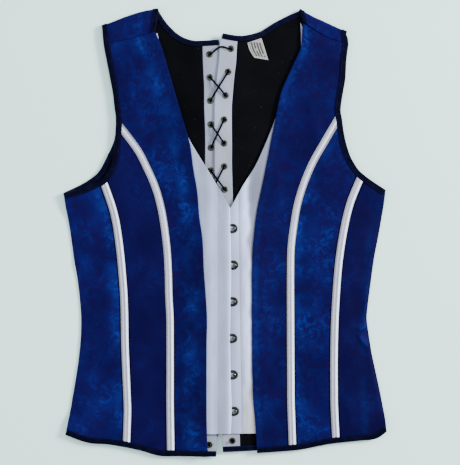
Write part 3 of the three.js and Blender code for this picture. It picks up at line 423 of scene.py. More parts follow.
# Soft creases, each from (x1, y1) to (x2, y2): its width, its height (a trough is below 0), and the
# share of its length over which it dies away at each end
CREASES = {
    "front_left": [
        (-236, -40, -205, -62, 9, 0.8, 0.45), (-238, -5, -212, -22, 8, -0.6, 0.45),
        (-222, -150, -196, -158, 7, -0.7, 0.4), (-221, -168, -190, -180, 9, 0.8, 0.4),
        (-226, -228, -198, -240, 10, 0.7, 0.45), (-118, 160, -96, 60, 13, 0.7, 0.4),
        (-72, -60, -60, -210, 11, 0.6, 0.4), (-126, -120, -118, -260, 12, -0.6, 0.45),
        (-160, 250, -120, 130, 14, 0.6, 0.4), (-190, -30, -178, -140, 11, 0.5, 0.45),
        (-52, 90, -70, 178, 8, -0.5, 0.4), (-110, 296, -150, 268, 9, 0.6, 0.4),
    ],
    "front_right": [
        (215, -128, 200, -138, 4, -1.2, 0.4), (215, -136, 197, -146, 6, 2.0, 0.35),
        (216, -174, 198, -150, 6, 2.0, 0.35), (213, -92, 207, -126, 6, 1.3, 0.45),
        (232, -30, 205, -66, 10, 0.8, 0.45), (236, 20, 212, -12, 9, -0.6, 0.45),
        (226, -222, 205, -260, 9, 0.7, 0.45), (180, -250, 190, -296, 7, 0.7, 0.45),
        (68, 120, 84, 20, 13, 0.7, 0.4), (72, -60, 66, -200, 12, -0.6, 0.4),
        (128, -20, 134, -150, 12, 0.7, 0.45), (120, 225, 142, 120, 14, 0.8, 0.4),
        (150, 290, 135, 225, 10, -0.6, 0.4), (180, -20, 190, -110, 10, -0.5, 0.45),
        (130, -190, 138, -280, 10, -0.6, 0.45),
    ],
    "inner_left": [
        (-58, 130, -30, -60, 13, 1.0, 0.3), (-44, 60, -26, -250, 12, -0.8, 0.25),
        (-16, 60, -14, -290, 8, 0.6, 0.1), (-58, 172, -20, 88, 6, -0.4, 0.35),
        (-22, 70, -6, 20, 7, 0.5, 0.4), (-24, -200, -22, -296, 9, 0.6, 0.3),
    ],
    "inner_right": [
        (30, 20, 36, -62, 7, 1.3, 0.35), (36, -62, 27, -96, 6, 1.4, 0.35), (28, -90, 37, -142, 7, 1.4, 0.3),
        (37, -142, 28, -235, 7, 1.3, 0.3), (28, -235, 24, -292, 7, 1.2, 0.35),
        (37, 6, 40, -100, 3, -1.1, 0.3), (37, -100, 40, -210, 3, -0.9, 0.3),
        (36, -215, 38, -292, 4, -1.2, 0.3), (22, 60, 42, 88, 8, -0.5, 0.4), (19, 18, 33, 26, 5, -0.5, 0.45),
        (31, -240, 35, -286, 3, 0.7, 0.4),
    ],
    "back": [
        (-60, 250, -72, 120, 16, 0.5, 0.45), (60, 230, 52, 120, 16, 0.5, 0.45),
        (-120, 60, -130, -120, 18, 0.3, 0.45), (130, 60, 120, -120, 18, 0.3, 0.45),
    ],
}

# Broad swells of the cloth: wave length in x and y, height and phase
SWELLS = {
    "front": [(92, 61, 0.28, 0.6), (47, 143, 0.22, 2.1), (31, 38, 0.09, 4.0)],
    "inner": [(29, 118, 0.22, 1.2), (17, 61, 0.10, 3.3)],
    "back": [(83, 120, 0.15, 0.2)],
}


def swelling(kind, points):
    """Height that the swells add at each plan point."""
    x, y = points[..., 0], points[..., 1]
    total = 0.0
    for wide, tall, height, phase in SWELLS[kind]:
        wander = 1.3 * np.sin(y / tall * 1.7 + phase * 2.0)
        total = total + height * np.sin(2 * math.pi * x / wide + wander + phase) * np.cos(
            2 * math.pi * y / tall * 0.7 + phase + 0.8 * np.sin(x / wide * 2.3))
    return total


def creasing(name, points):
    """Height that the creases of one piece add at each plan point."""
    total = 0.0
    for x1, y1, x2, y2, width, height, fade in CREASES[name]:
        start, span = np.array([x1, y1]), np.array([x2 - x1, y2 - y1])
        offset = points - start
        t = (offset * span).sum(axis=-1) / (span ** 2).sum()
        gap = np.linalg.norm(offset - np.clip(t, 0.0, 1.0)[..., None] * span, axis=-1)
        taper = smoothstep(t, 0.0 - fade / 3, fade) * (1 - smoothstep(t, 1 - fade, 1 + fade / 3))
        total = total + height * np.exp(-(gap / width * 1.6) ** 2) * taper
    return total


class Side:
    """The lines and heights of one side of the garment."""

    def __init__(self, name):
        tables = dict(OUTLINES[name])
        self.name = name
        self.out = tables.pop("out")
        self.line = {key: Line.through(points) for key, points in tables.items()}
        self.normal = np.array(FOLD_NORMAL[name])

    def rising(self, x, start, end):
        share = smoothstep(x, start, end)
        return share if self.name == "left" else 1 - share

    def overlap(self, y):
        return OVERLAP_LIFT * smoothstep(y, OVERLAP_END_Y, OVERLAP_FULL_Y)

    def nearest(self, keys, points):
        return np.minimum.reduce([self.line[key].distance(points) for key in keys])

    def back_low(self, points):
        """Height of the back cloth's lower face."""
        near = self.nearest(("back_armhole", "neck", "back_hem"), points)
        rise = EDGE_RISE * (1 - smoothstep(near, EDGE_RISE_FLAT, EDGE_RISE_END))
        lift = LEFT_LIFT if self.name == "left" else LEFT_LIFT + self.overlap(points[..., 1])
        return rise + lift * self.rising(points[..., 0], *BACK_LIFT_X[self.name])

    def inner_base(self, points):
        rise = INNER_RISE[self.name] - OVERLAP_LIFT + self.overlap(points[..., 1])
        return INNER_REST + rise * self.rising(points[..., 0], *INNER_RISE_X[self.name])

    def inner_low(self, points):
        """Height of the inner front's lower face, creased where it shows."""
        line = self.line
        inside = (line["front_edge"].x_at(points[..., 1]) - points[..., 0]) * self.out
        shown = smoothstep(inside, -1.0, 7.0)
        calm = smoothstep(line["inner_edge"].distance(points), 4.0, 12.0)
        hem = smoothstep(points[..., 1], INNER_HEM, INNER_HEM + 14.0)
        soft = creasing(f"inner_{self.name}", points) + swelling("inner", points)
        return self.inner_base(points) + np.maximum(soft, INNER_TROUGH) * shown * calm * hem

    def front_low(self, points):
        """Height of the front panels' lower face."""
        line = self.line
        from_side = np.maximum(0.0, (line["side"].x_at(points[..., 1]) - points[..., 0]) * self.out)
        drop = SEAM_DROP - SEAM_RISE * smoothstep(from_side, 0, SEAM_RISE_END)
        drop = drop - (SEAM_DROP - SEAM_RISE) * smoothstep(from_side, 0, SIDE_RISE_END)
        edges = self.nearest(("armhole", "front_hem"), points)
        clear = smoothstep(edges, SIDE_RISE_START, SIDE_RISE_FULL)
        soft = creasing(f"front_{self.name}", points) + swelling("front", points)
        rim = smoothstep(edges, 5.0, 26.0) * smoothstep(line["front_edge"].distance(points), 0.0, 22.0)
        rim = rim * smoothstep(line["seam"].distance(points), 2.0, 22.0)
        return self.inner_base(points) + FRONT_STEP - drop * clear + np.maximum(soft, FRONT_TROUGH) * rim

    def inner_top(self, points):
        return self.inner_low(points) + INNER_CLOTH

    def front_top(self, points):
        return self.front_low(points) + FRONT_CLOTH

    def lining_low(self, points):
        return self.back_low(points) + BACK_CLOTH + LINING_AIR

    def stack_top(self, points):
        """Height of the lining's and the strip's upper face."""
        return self.back_low(np.asarray(points)) + BACK_STACK


def spread(length, cell=CELL):
    """Shares of a length: a few close ones at each end for the rounded edge, then even steps."""
    rim = np.array(RIM_CELLS) / length
    middle = np.linspace(rim[-1], 1 - rim[-1], max(3, int(round(length / cell))))
    return np.concatenate([rim[:-1], middle, 1 - rim[:-1][::-1]])


def stacked(grid, heights):
    """Plan points with their heights."""
    return np.concatenate([grid, np.asarray(heights)[..., None]], axis=-1)


def laid(grid, low, thickness, outer_below=False):
    """Outer and inner face of cloth laid on a plan grid."""
    z = low(grid)
    faces = stacked(grid, z), stacked(grid, z + thickness)
    return faces if outer_below else faces[::-1]


def arc_lengths(grid, axis):
    """Distance along the rows or columns of a grid, from its first point."""
    steps = np.linalg.norm(np.diff(grid, axis=axis), axis=-1)
    start = np.zeros_like(np.take(steps, [0], axis=axis))
    return np.concatenate([start, np.cumsum(steps, axis=axis)], axis=axis)


def softened(outer, inner):
    """The two faces drawn together at the cloth's edges, as where cloth is turned over."""
    wide, tall = arc_lengths(outer, 1), arc_lengths(outer, 0)
    gap = np.minimum.reduce([wide, wide[:, -1:] - wide, tall, tall[-1:] - tall])
    share = np.clip(gap / EDGE_SOFT, 0.0, 1.0)
    full = EDGE_LEFT + (1 - EDGE_LEFT) * np.sqrt(1 - (1 - share) ** 2)
    middle, half = (outer + inner) / 2, (outer - inner) / 2
    return middle + half * full[..., None], middle - half * full[..., None]


def shell_faces(rows, columns):
    """Quads of two stacked grids joined round their rim."""
    index = np.arange(rows * columns).reshape(rows, columns)
    top = np.stack([index[:-1, :-1], index[:-1, 1:], index[1:, 1:], index[1:, :-1]], axis=-1).reshape(-1, 4)
    under = top[:, ::-1] + rows * columns
    rim = np.concatenate([index[0, :-1], index[:-1, -1], index[-1, :0:-1], index[:0:-1, 0]])
    ahead = np.roll(rim, -1)
    wall = np.stack([rim, rim + rows * columns, ahead + rows * columns, ahead], axis=-1)
    return np.concatenate([top, under, wall])


def new_object(name, points, edges=(), faces=()):
    """An object in the scene, from points in millimetres."""
    places = np.array(points, dtype=float)
    places[:, :2] += CENTRING
    mesh = bpy.data.meshes.new(name)
    mesh.from_pydata((places * MM).tolist(), list(edges), [[int(i) for i in face] for face in faces])
    made = bpy.data.objects.new(name, mesh)
    bpy.context.scene.collection.objects.link(made)
    return made


def new_mesh(name, points, faces, uv=None, smooth_angle=50):
    """A smooth solid with its UV map in metres and its faces turned outwards."""
    made = new_object(name, points, (), faces)
    mesh = made.data
    if uv is not None:
        layer = mesh.uv_layers.new(name="cloth")
        corners = np.empty(len(mesh.loops), dtype=np.int32)
        mesh.loops.foreach_get("vertex_index", corners)
        layer.data.foreach_set("uv", (np.asarray(uv)[corners] * MM).ravel())
    mesh.validate()
    turn_outwards(mesh)
    mesh.polygons.foreach_set("use_smooth", [True] * len(mesh.polygons))
    mesh.set_sharp_from_angle(angle=math.radians(smooth_angle))
    return made


def turn_outwards(mesh):
    """Flips a closed mesh whose faces point inwards."""
    mesh.calc_loop_triangles()
    corners = np.empty(len(mesh.loop_triangles) * 3, dtype=np.int32)
    mesh.loop_triangles.foreach_get("vertices", corners)
    places = np.empty(len(mesh.vertices) * 3)
    mesh.vertices.foreach_get("co", places)
    a, b, c = places.reshape(-1, 3)[corners.reshape(-1, 3)].transpose(1, 0, 2)
    if (a * np.cross(b, c)).sum() < 0:
        mesh.flip_normals()


def cloth(name, outer, inner, soft=True):
    """A cloth piece from its two faces, with the lengths along it as its UV map."""
    wide, tall = arc_lengths(outer, 1), arc_lengths(outer, 0)
    uv = np.stack([wide, tall], axis=-1).reshape(-1, 2)
    faces = softened(outer, inner) if soft else (outer, inner)
    points = np.concatenate([face.reshape(-1, 3) for face in faces])
    return new_mesh(name, points, shell_faces(*outer.shape[:2]), np.concatenate([uv, uv]))


def mark_panel(piece, grid, columns, creases):
    """Stores each point's distance from the nearest seam under a tape, and the height of its creases, for the
    silk's painted shadow and painted highlight.
    """
    wide = arc_lengths(grid, 1)
    gaps = []
    for column in columns:
        way = np.gradient(grid[:, column, :2], axis=0)
        lean = np.abs(way[:, 1]) / np.linalg.norm(way, axis=1)
        gaps.append(np.abs(wide - wide[:, [column]]) * lean[:, None])
    nearest = np.min(gaps, axis=0).ravel() * MM
    heights = creasing(creases, grid[..., :2]).ravel()
    for key, values in (("seam", nearest), ("ridge", heights)):
        layer = piece.data.attributes.new(key, "FLOAT", "POINT")
        layer.data.foreach_set("value", np.concatenate([values, values]))


def cut_size(grid):
    """Flat width, length and area of a cloth grid, in metres."""
    width = arc_lengths(grid, 1)[:, -1].max()
    length = arc_lengths(grid, 0)[-1].max()
    across, along = np.diff(grid, axis=1)[:-1], np.diff(grid, axis=0)[:, :-1]
    area = np.linalg.norm(np.cross(across, along), axis=-1).sum()
    return width * MM, length * MM, area * MM * MM


def finish(piece, material, nodes=(), cut=None):
    """Gives a piece its material and body, and hides the imported parts it stands for; a cloth's cut size
    goes unused.
    """
    piece.data.materials.clear()
    piece.data.materials.append(material)
    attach(piece, BODY)
    if nodes:
        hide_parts(*nodes)
    if cut:
        width, length, area = cut
        min(area, width * length)
    return piece


def back_faces(side):
    """The back cloth: flat on the table, rolled over the shoulder and down to the forward seam."""
    line, normal = side.line, side.normal
    foot = line["fold"].moved(-normal * FOLD_RADIUS)
    centre = two_part(line["centre"], line["neck"], BACK_NECK_ROW)
    outside = two_part(line["side"], line["back_armhole"], BACK_NECK_ROW * UNDERARM_LEVEL)
    plan = patch(fitted(centre, line["fold"], foot, 0.0), fitted(outside, line["fold"], foot, 1.0),
                 line["back_hem"].at, foot.at)
    u = spread(*BACK_WIDTH)
    grid = plan(u, spread(*BACK_LENGTH))
    outer, inner = laid(grid, side.back_low, BACK_CLOTH, outer_below=True)
    last = outer[-1]
    radius = (FRONT_TOP - last[:, 2]) / 2
    middle = last + radius[:, None] * [0, 0, 1]
    outers, inners = [outer], [inner]
    for angle in np.radians(np.arange(-72, 91, 18)):
        ray = np.array([*(normal * math.cos(angle)), math.sin(angle)])
        outers.append((middle + ray * radius[:, None])[None])
        inners.append((middle + ray * (radius - BACK_CLOTH)[:, None])[None])
    top = outers[-1][0]
    seam = stacked(line["seam"].at(u) + normal * SHOULDER_SEAM, np.full(len(u), FRONT_TOP))
    for share in np.linspace(0.1, 1.0, 10):
        over = top + (seam - top) * share
        outers.append(over[None])
        inners.append(stacked(over[:, :2], np.full(len(u), FRONT_TOP - BACK_CLOTH))[None])
    return np.concatenate(outers), np.concatenate(inners), len(outer)


def lining_faces(side):
    """The lining, from the strip to the sides and up to the shoulder's roll."""
    line, out, normal = side.line, side.out, side.normal
    strip_side = line["centre"].moved((out * (STRIP_WIDTH + LINING_AIR), 0))
    strip_line = strip_side.part(strip_side.meets(line["back_hem"]), strip_side.meets(line["neck"]))
    reach = FOLD_RADIUS + COLUMN_MARGIN / 2
    top = line["fold"].moved(-normal * reach)
    armhole = line["back_armhole"].part(LINING_ARMHOLE_START, 1.0).set_off(out * LINING_EDGE)
    neck = line["neck"].part(line["neck"].nearest(strip_line.at(1.0)), 1.0).set_off(-out * LINING_EDGE)
    centre = two_part(strip_line, neck, BACK_NECK_ROW)
    outside = two_part(line["side"].moved((-out * LINING_INSET, 0)), armhole, BACK_NECK_ROW * UNDERARM_LEVEL)
    hem_start = line["back_hem"].nearest(strip_line.at(0.0))
    hem_end = line["back_hem"].nearest(outside(np.array([0.0]))[0])
    hem = line["back_hem"].part(hem_start, hem_end).moved((0, LINING_EDGE))
    plan = patch(fitted(centre, line["fold"], top, 0.0), fitted(outside, line["fold"], top, 1.0),
                 hem.at, top.at)
    u, v = (spread(*grid) for grid in LINING_GRID)
    return laid(plan(u, v), side.lining_low, LINING, outer_below=True)


def strip_faces(side):
    """The eyelet strip along the back's centre edge."""
    line, out = side.line, side.out
    whole = line["centre"].moved((out * STRIP_WIDTH, 0))
    near = line["centre"].part(STRIP_END, 1 - STRIP_END)
    far = whole.part(whole.meets(line["back_hem"]) + STRIP_END, whole.meets(line["neck"]) - STRIP_END)
    u, v = (spread(*grid) for grid in STRIP_GRID)
    grid = near.at(v)[:, None] * (1 - u[None, :, None]) + far.at(v)[:, None] * u[None, :, None]
    return laid(grid, side.lining_low, LINING, outer_below=True)


def front_panels(side):
    """Outer and inner faces of the centre, middle and side panel, with the lines of their seams."""
    line, shift = side.line, np.array([side.out * PANEL_SEAM, 0.0])
    hem, armhole = line["front_hem"], line["armhole"]
    bones = [line["inner_bone"], line["outer_bone"]]
    feet = [hem.nearest(bone.at(0.0)) for bone in bones]
    tops = [armhole.nearest(bone.at(1.0)) for bone in bones]
    shares = np.arange(BONE_TRIM, BONE_STEPS - BONE_TRIM + 1, BONE_STRIDE) / BONE_STEPS
    inner, outer = (Line.through([hem.at(foot), *bone.at(shares), armhole.at(top)])
                    for bone, foot, top in zip(bones, feet, tops))
    seam = line["seam"].moved(-side.normal * SHOULDER_SEAM)
    rim = two_part(inner.moved(-shift), armhole.part(tops[0], 1.0), BONE_TOP_ROW)
    plans = {
        "centre": patch(line["front_edge"].at, rim, hem.part(0.0, feet[0]).at, seam.at),
        "middle": patch(inner.moved(shift).at, outer.moved(-shift).at, hem.part(*feet).at,
                        armhole.part(*tops).at),
        "side": patch(outer.moved(shift).at, line["side"].at, hem.part(feet[1], 1.0).at,
                      armhole.part(tops[1], 0.0).at),
    }
    faces = {}
    for key, plan in plans.items():
        width, length = PANEL_SIZES[key]
        faces[key] = laid(plan(spread(width), spread(length)), side.front_low, FRONT_CLOTH)
    return faces, {"inner": inner, "outer": outer}


def inner_front_faces(side):
    """The inner front, from the busk's edge to under the inner boning tape."""
    line = side.line
    plan = patch(two_part(line["inner_edge"], line["inner_neck"], INNER_NECK_ROW), line["inner_outer"].at,
                 line["inner_hem"].at, line["inner_top"].at)
    u, v = (spread(*grid) for grid in INNER_GRID)
    return laid(plan(u, v), side.inner_low, INNER_CLOTH)


def averaged(vectors, reach=2):
    """Directions evened out along a path."""
    padded = np.concatenate([np.repeat(vectors[:1], reach, 0), vectors, np.repeat(vectors[-1:], reach, 0)])
    return unit(sum(padded[i:i + len(vectors)] for i in range(2 * reach + 1)))


class Hem:
    """Stations along an edge that a folded binding hugs."""

    def __init__(self):
        self.outer, self.up, self.inward, self.stack, self.face = [], [], [], [], []

    def add(self, points, up, stack, face=None, neighbours=None):
        """A stretch of the edge: its points, the way through its cloth, that cloth's thickness, the
        face that the binding's foot follows, and for rolled cloth the points further in."""
        for i, point in enumerate(points):
            self.outer.append(point)
            self.up.append(up[i] if np.ndim(up) == 2 else up)
            self.inward.append(None if neighbours is None else neighbours[i] - point)
            self.stack.append(stack)
            self.face.append(face)
        return self

    def frames(self, turn):
        """The stations' points, their smooth ways up and inward, and what the foot drops."""
        outer, up = np.array(self.outer), np.array(self.up, dtype=float)
        inward = np.cross(unit(np.gradient(outer, axis=0)), up) * turn
        for i, given in enumerate(self.inward):
            if given is not None:
                inward[i] = unit(given)
        inward = averaged(unit(inward))
        drop = np.zeros(len(outer))
        feet = outer + inward * BINDING_WIDTH
        for face in {f for f in self.face if f is not None}:
            chosen = np.array([f == face for f in self.face])
            drop[chosen] = face(feet[chosen][:, :2]) - feet[chosen][:, 2]
        return outer, averaged(up, 1), inward, drop, np.array(self.stack, dtype=float)


def binding_section(stack):
    """Section of the binding as (inward, up) points: round the outside, then back along the inside."""
    wall, air = BINDING_WALL, BINDING_AIR
    top = stack + air
    mid = (top - air) / 2
    turn = np.radians(np.arange(-90, 91, 22.5))
    legs = (BINDING_WIDTH, BINDING_WIDTH * 0.66, BINDING_WIDTH / 3)
    points = [(reach, -air - wall) for reach in legs]
    points += [(-(TURN_AIR + wall) * math.cos(a), mid + (mid + air + wall) * math.sin(a)) for a in turn]
    points += [(reach, top + wall) for reach in legs[:0:-1]]
    points += [(BINDING_WIDTH - 0.3, top + wall), (BINDING_WIDTH + 0.1, top + wall * 0.6)]
    points += [(BINDING_WIDTH + 0.1, top + wall * 0.3), (BINDING_WIDTH - 0.2, top)]
    points += [(reach, top) for reach in legs[1:]]
    points += [(-TURN_AIR * math.cos(a), mid + (mid + air) * math.sin(a)) for a in turn[::-1]]
    points += [(reach, -air) for reach in legs[::-1]]
    return points


def swept(name, rings, closed_uv):
    """A closed solid from equal rings of points, capped by a strip across each end."""
    count, size = rings.shape[:2]
    index = np.arange(count * size).reshape(count, size)
    ahead = np.roll(index, -1, axis=1)
    faces = np.stack([index[:-1], ahead[:-1], ahead[1:], index[1:]], axis=-1).reshape(-1, 4).tolist()
    for row, flip in ((index[0], True), (index[-1], False)):
        half = size // 2
        pairs = [[row[k], row[k + 1], row[size - 2 - k], row[size - 1 - k]] for k in range(half - 1)]
        faces += [quad[::-1] for quad in pairs] if flip else pairs
    return new_mesh(name, rings.reshape(-1, 3), faces, closed_uv.reshape(-1, 2))


def binding(name, hem, turn):
    """A bias strip folded round an edge, with its flat size and the two rows of its stitches."""
    outer, up, inward, drop, stack = hem.frames(turn)
    rings = []
    for i in range(len(outer)):
        ring = []
        for s, h in binding_section(stack[i]):
            point = outer[i] + inward[i] * s + up[i] * h
            point[2] += drop[i] * np.clip(s / BINDING_WIDTH, 0, 1)
            ring.append(point)
        rings.append(ring)
    rings = np.array(rings)
    along = arc_lengths(outer[None], 1)[0]
    around = arc_lengths(rings, 1)
    uv = np.stack([np.broadcast_to(along[:, None], around.shape), around], axis=-1)
    made = swept(name, rings, uv)
    reach = BINDING_WIDTH - BINDING_STITCH_IN
    rows = []
    for height in (np.full(len(outer), -BINDING_AIR - BINDING_WALL), stack + BINDING_AIR + BINDING_WALL):
        row = outer + inward * reach + up * height[:, None]
        row[:, 2] += drop * reach / BINDING_WIDTH
        rows.append(row[2:-2])
    length = along[-1] * MM
    width = (2 * BINDING_WIDTH + stack.mean() + BINDING_FOLD) * MM
    return made, (width, length, width * length), rows


def tape_faces(side, bone):
    """A boning tape along a bone line, cut to meet the bindings at both ends."""
    offsets = np.linspace(-TAPE_WIDTH / 2, TAPE_WIDTH / 2, TAPE_COLUMNS)
    ridge = np.exp(-((np.abs(offsets) - TAPE_WIDTH / 4) / RIDGE_WIDTH) ** 4)
    valley = TAPE_EDGE + (TAPE_VALLEY - TAPE_EDGE) * np.exp(-(offsets / VALLEY_WIDTH) ** 2)
    heights = valley + (TAPE_RIDGE - TAPE_EDGE) * ridge
    keep = BINDING_WIDTH + TAPE_END_GAP
    shares = np.linspace(0.0, 1.0, 801)
    along = unit(bone.at(shares + 0.01) - bone.at(shares - 0.01))
    across = np.stack([along[:, 1], -along[:, 0]], axis=1)
    levels = spread(480, 3.0)
    columns = []
    for offset in offsets:
        places = bone.at(shares) + across * offset
        clear_low = side.line["front_hem"].distance(places) >= keep
        clear_high = side.line["armhole"].distance(places) >= keep
        start = shares[np.argmax(clear_low)]
        end = shares[len(shares) - 1 - np.argmax(clear_high[::-1])]
        s = start + (end - start) * levels
        columns.append(np.stack([np.interp(s, shares, places[:, k]) for k in range(2)], axis=-1))
    grid = np.stack(columns, axis=1)
    low = side.front_top(grid) + TAPE_AIR
    return stacked(grid, low + heights), stacked(grid, low)


def eyelet_places(side):
    """Plan points of one side's eyelets, from the neck down."""
    line = side.line["eyelets"]
    ys = np.linspace(line.at(1.0)[1], line.at(0.0)[1], EYELET_PAIRS)
    steps = np.arange(EYELET_PAIRS)
    ys = ys - EYELET_DRIFT[side.name] * smoothstep(steps, 1, 4) * (1 - smoothstep(steps, 8, 16))
    return np.stack([line.x_at(ys), ys], axis=-1)


def punch(piece, places):
    """Cuts upright round holes through a cloth piece."""
    n = HOLE_SIDES
    points, faces = [], []
    for place in places:
        first = len(points)
        ring = place + circle(n) * HOLE_RADIUS
        points += [(x, y, z) for z in HOLE_REACH for x, y in ring]
        faces.append(range(first + n - 1, first - 1, -1))
        faces.append(range(first + n, first + 2 * n))
        for k in range(n):
            ahead = (k + 1) % n
            faces.append([first + k, first + ahead, first + n + ahead, first + n + k])
    cutter = new_object("punch", points, (), faces)
    cut = piece.modifiers.new("holes", "BOOLEAN")
    cut.operation = "DIFFERENCE"
    cut.solver = "EXACT"
    cut.object = cutter
    bake_modifiers(piece)
    mesh = cutter.data
    bpy.data.objects.remove(cutter)
    bpy.data.meshes.remove(mesh)


def bake_modifiers(piece):
    """Turns what a piece's modifiers show into its own plain mesh."""
    graph = bpy.context.evaluated_depsgraph_get()
    baked = bpy.data.meshes.new_from_object(piece.evaluated_get(graph))
    piece.modifiers.clear()
    old = piece.data
    piece.data = baked
    name = old.name
    bpy.data.meshes.remove(old)
    baked.name = name


def rounded_path(points):
    """Corners cut twice, with the ends kept, for a cord's soft bends."""
    for _ in range(2):
        near = points[:-1] * 0.75 + points[1:] * 0.25
        far = points[:-1] * 0.25 + points[1:] * 0.75
        middle = np.stack([near, far], axis=1).reshape(-1, points.shape[1])
        points = np.concatenate([points[:1], middle, points[-1:]])
    return points


def lace_points(left, right):
    """One lace through all the eyelets: a bar across the top pair, then crossings to the hem.

    Each point is (x, y, z, radius)."""
    sides = (left, right)
    places = [eyelet_places(side) for side in sides]
    over_eyelet = EYELET_AIR + EYELET_FLANGE + LACE_RADIUS

    def inside(k, i):
        return float(sides[k].stack_top(places[k][i])) + over_eyelet

    def outside(k, i):
        return max(float(sides[k].back_low(places[k][i])) - AIR - LACE_PRESSED, LACE_PRESSED + LACE_REST)

    def near(k, i, towards, z):
        x, y = places[k][i] + unit(towards - places[k][i]) * TURN_OUT
        return (x, y, z)

    def crossing(start, end, is_inside, above, straight=False):
        (k, i), (_, j) = (start, end) if start[0] == 0 else (end, start)
        a, b = places[0][i], places[1][j]
        edge_y = (a[1] + b[1]) / 2
        middle_x = (a[0] + b[0]) / 2
        rise = 2 * LACE_RADIUS + AIR if above else 0.0

        def on(x, z):
            return (x, a[1] + (b[1] - a[1]) * (x - a[0]) / (b[0] - a[0]), z)

        if is_inside:
            x = right.line["centre"].x_at(edge_y) - EDGE_CLEARANCE
            _, y, _ = on(x, 0)
            z = float(right.stack_top((x + EDGE_CLEARANCE, y))) + LACE_AIR + LACE_RADIUS
            first, last = near(0, i, b, inside(0, i)), near(1, j, a, inside(1, j))
            points = [first, on(x, z), on(middle_x, z + rise), last]
            edge = 1
            if straight:
                points = [first, (x, on(x, z)[1] + TOP_BAR_ARCH, z),
                          (middle_x + TOP_BAR_LEAN, edge_y + TOP_BAR_ARCH, z), last]
        else:
            x = left.line["centre"].x_at(edge_y) + EDGE_CLEARANCE
            points = [near(0, i, b, outside(0, i)), on(middle_x, LACE_PRESSED + LACE_REST + rise),
                      on(x, LEFT_LIFT - AIR - LACE_PRESSED)]
            edge = 2
        if not straight and abs(points[edge][0] - middle_x) <= MIDDLE_CLEARANCE:
            points = points[:edge] + points[edge + 1:]
        return points if start[0] == 0 else points[::-1]

    def through(k, i, downwards):
        x, y = places[k][i]
        points = [(x, y, inside(k, i)), (x, y, outside(k, i))]
        return points if downwards else points[::-1]

    def strand(start_side, above):
        points = []
        for i in range(EYELET_PAIRS - 1):
            k = (start_side + i) % 2
            is_inside = i % 2 == 1
            points += through(k, i, not is_inside)
            points += crossing((k, i), (1 - k, i + 1), is_inside, above)
        return points + through((start_side + EYELET_PAIRS - 1) % 2, EYELET_PAIRS - 1, False)

    path = strand(0, False)[::-1] + crossing((0, 0), (1, 0), True, False, straight=True) + strand(1, True)
    path = np.array(path)
    radii = np.where(path[:, 2] < PRESSED_BELOW, LACE_PRESSED, LACE_RADIUS)
    return np.hstack([path, radii[:, None]])


def tube_rings(path, sides):
    """Rings round a path of (x, y, z, radius) points, without twist."""
    centres, radii = path[:, :3], path[:, 3]
    along = unit(np.gradient(centres, axis=0))
    side = np.cross([0.3, 1.0, 0.2], along[0])
    rings = []
    for centre, radius, way in zip(centres, radii, along):
        side = unit(side - way * side.dot(way))
        rings.append(centre + radius * circle(sides) @ np.array([side, np.cross(way, side)]))
    return np.array(rings)


def tube(name, path):
    """A round cord along a path of (x, y, z, radius) points."""
    rings = tube_rings(path, LACE_SIDES)
    along = arc_lengths(path[None, :, :3], 1)[0]
    around = np.arange(LACE_SIDES) * 2 * math.pi * LACE_RADIUS / LACE_SIDES
    return swept(name, rings, np.stack(np.meshgrid(along, around, indexing="ij"), axis=-1))


def knot_path(point):
    """An overhand stopper knot as a small coil standing on the lace's end, then its short tail."""
    turns = np.linspace(0, 2 * math.pi * KNOT_TURNS, 26)
    coil = np.stack([KNOT_COIL * np.cos(turns), KNOT_COIL * np.sin(turns), 0.9 + 0.28 * turns], axis=1)
    tail = np.array([[0.4, 0.2, 4.0], [0.9, -0.6, 4.6], [1.9, -1.4, 4.8]])
    return np.vstack([coil, tail]) + point


def lathe(name, profile, centre, sides=28):
    """A solid turned about an upright axis from (radius, height) pairs that start and end on it."""
    ring = np.hstack([circle(sides), np.ones((sides, 1))])
    rings = [ring * [radius, radius, height] for radius, height in profile[1:-1]]
    ends = [[0, 0, profile[i][1]] for i in (0, -1)]
    points = np.vstack([ends[:1], *rings, ends[1:]]) + centre
    last = len(points) - 1
    faces = []
    for k in range(sides):
        ahead = (k + 1) % sides
        faces += [[0, 1 + ahead, 1 + k], [last - sides + k, last - sides + ahead, last]]
        for first in range(1, last - sides, sides):
            faces.append([first + k, first + ahead, first + sides + ahead, first + sides + k])
    return new_mesh(name, points, faces, smooth_angle=35)


class Value:
    """A shader socket that takes part in arithmetic as a number does."""

    def __init__(self, shader, socket):
        self.shader = shader
        self.socket = socket

    def __add__(self, other):
        return self.shader.maths("ADD", self, other)

    def __sub__(self, other):
        return self.shader.maths("SUBTRACT", self, other)

    def __rsub__(self, other):
        return self.shader.maths("SUBTRACT", other, self)

    def __mul__(self, other):
        return self.shader.maths("MULTIPLY", self, other)

    def __truediv__(self, other):
        return self.shader.maths("DIVIDE", self, other)

    def __abs__(self):
        return self.shader.maths("ABSOLUTE", self)

    __radd__ = __add__
    __rmul__ = __mul__


class Tree:
    """A node tree built from Python."""

    def __init__(self, tree):
        self.tree = tree

    def node(self, kind, settings=None, **sockets):
        """A node with its settings and its inputs, which are named or numbered as i0, i1 and so on."""
        made = self.tree.nodes.new(kind)
        for key, value in (settings or {}).items():
            setattr(made, key, value)
        for key, value in sockets.items():
            socket = made.inputs[int(key[1:]) if key[1:].isdigit() else key.replace("_", " ")]
            source = value.socket if isinstance(value, Value) else value
            if isinstance(source, bpy.types.NodeSocket):
                self.tree.links.new(source, socket)
            else:
                socket.default_value = source
        return made

    def out(self, made, key=0):
        return made.outputs[key]

    def operation(self, kind, operation, values):
        sockets = {f"i{i}": value for i, value in enumerate(values)}
        return self.out(self.node(kind, {"operation": operation}, **sockets))

    def maths(self, operation, *values):
        return self.operation("ShaderNodeMath", operation, values)
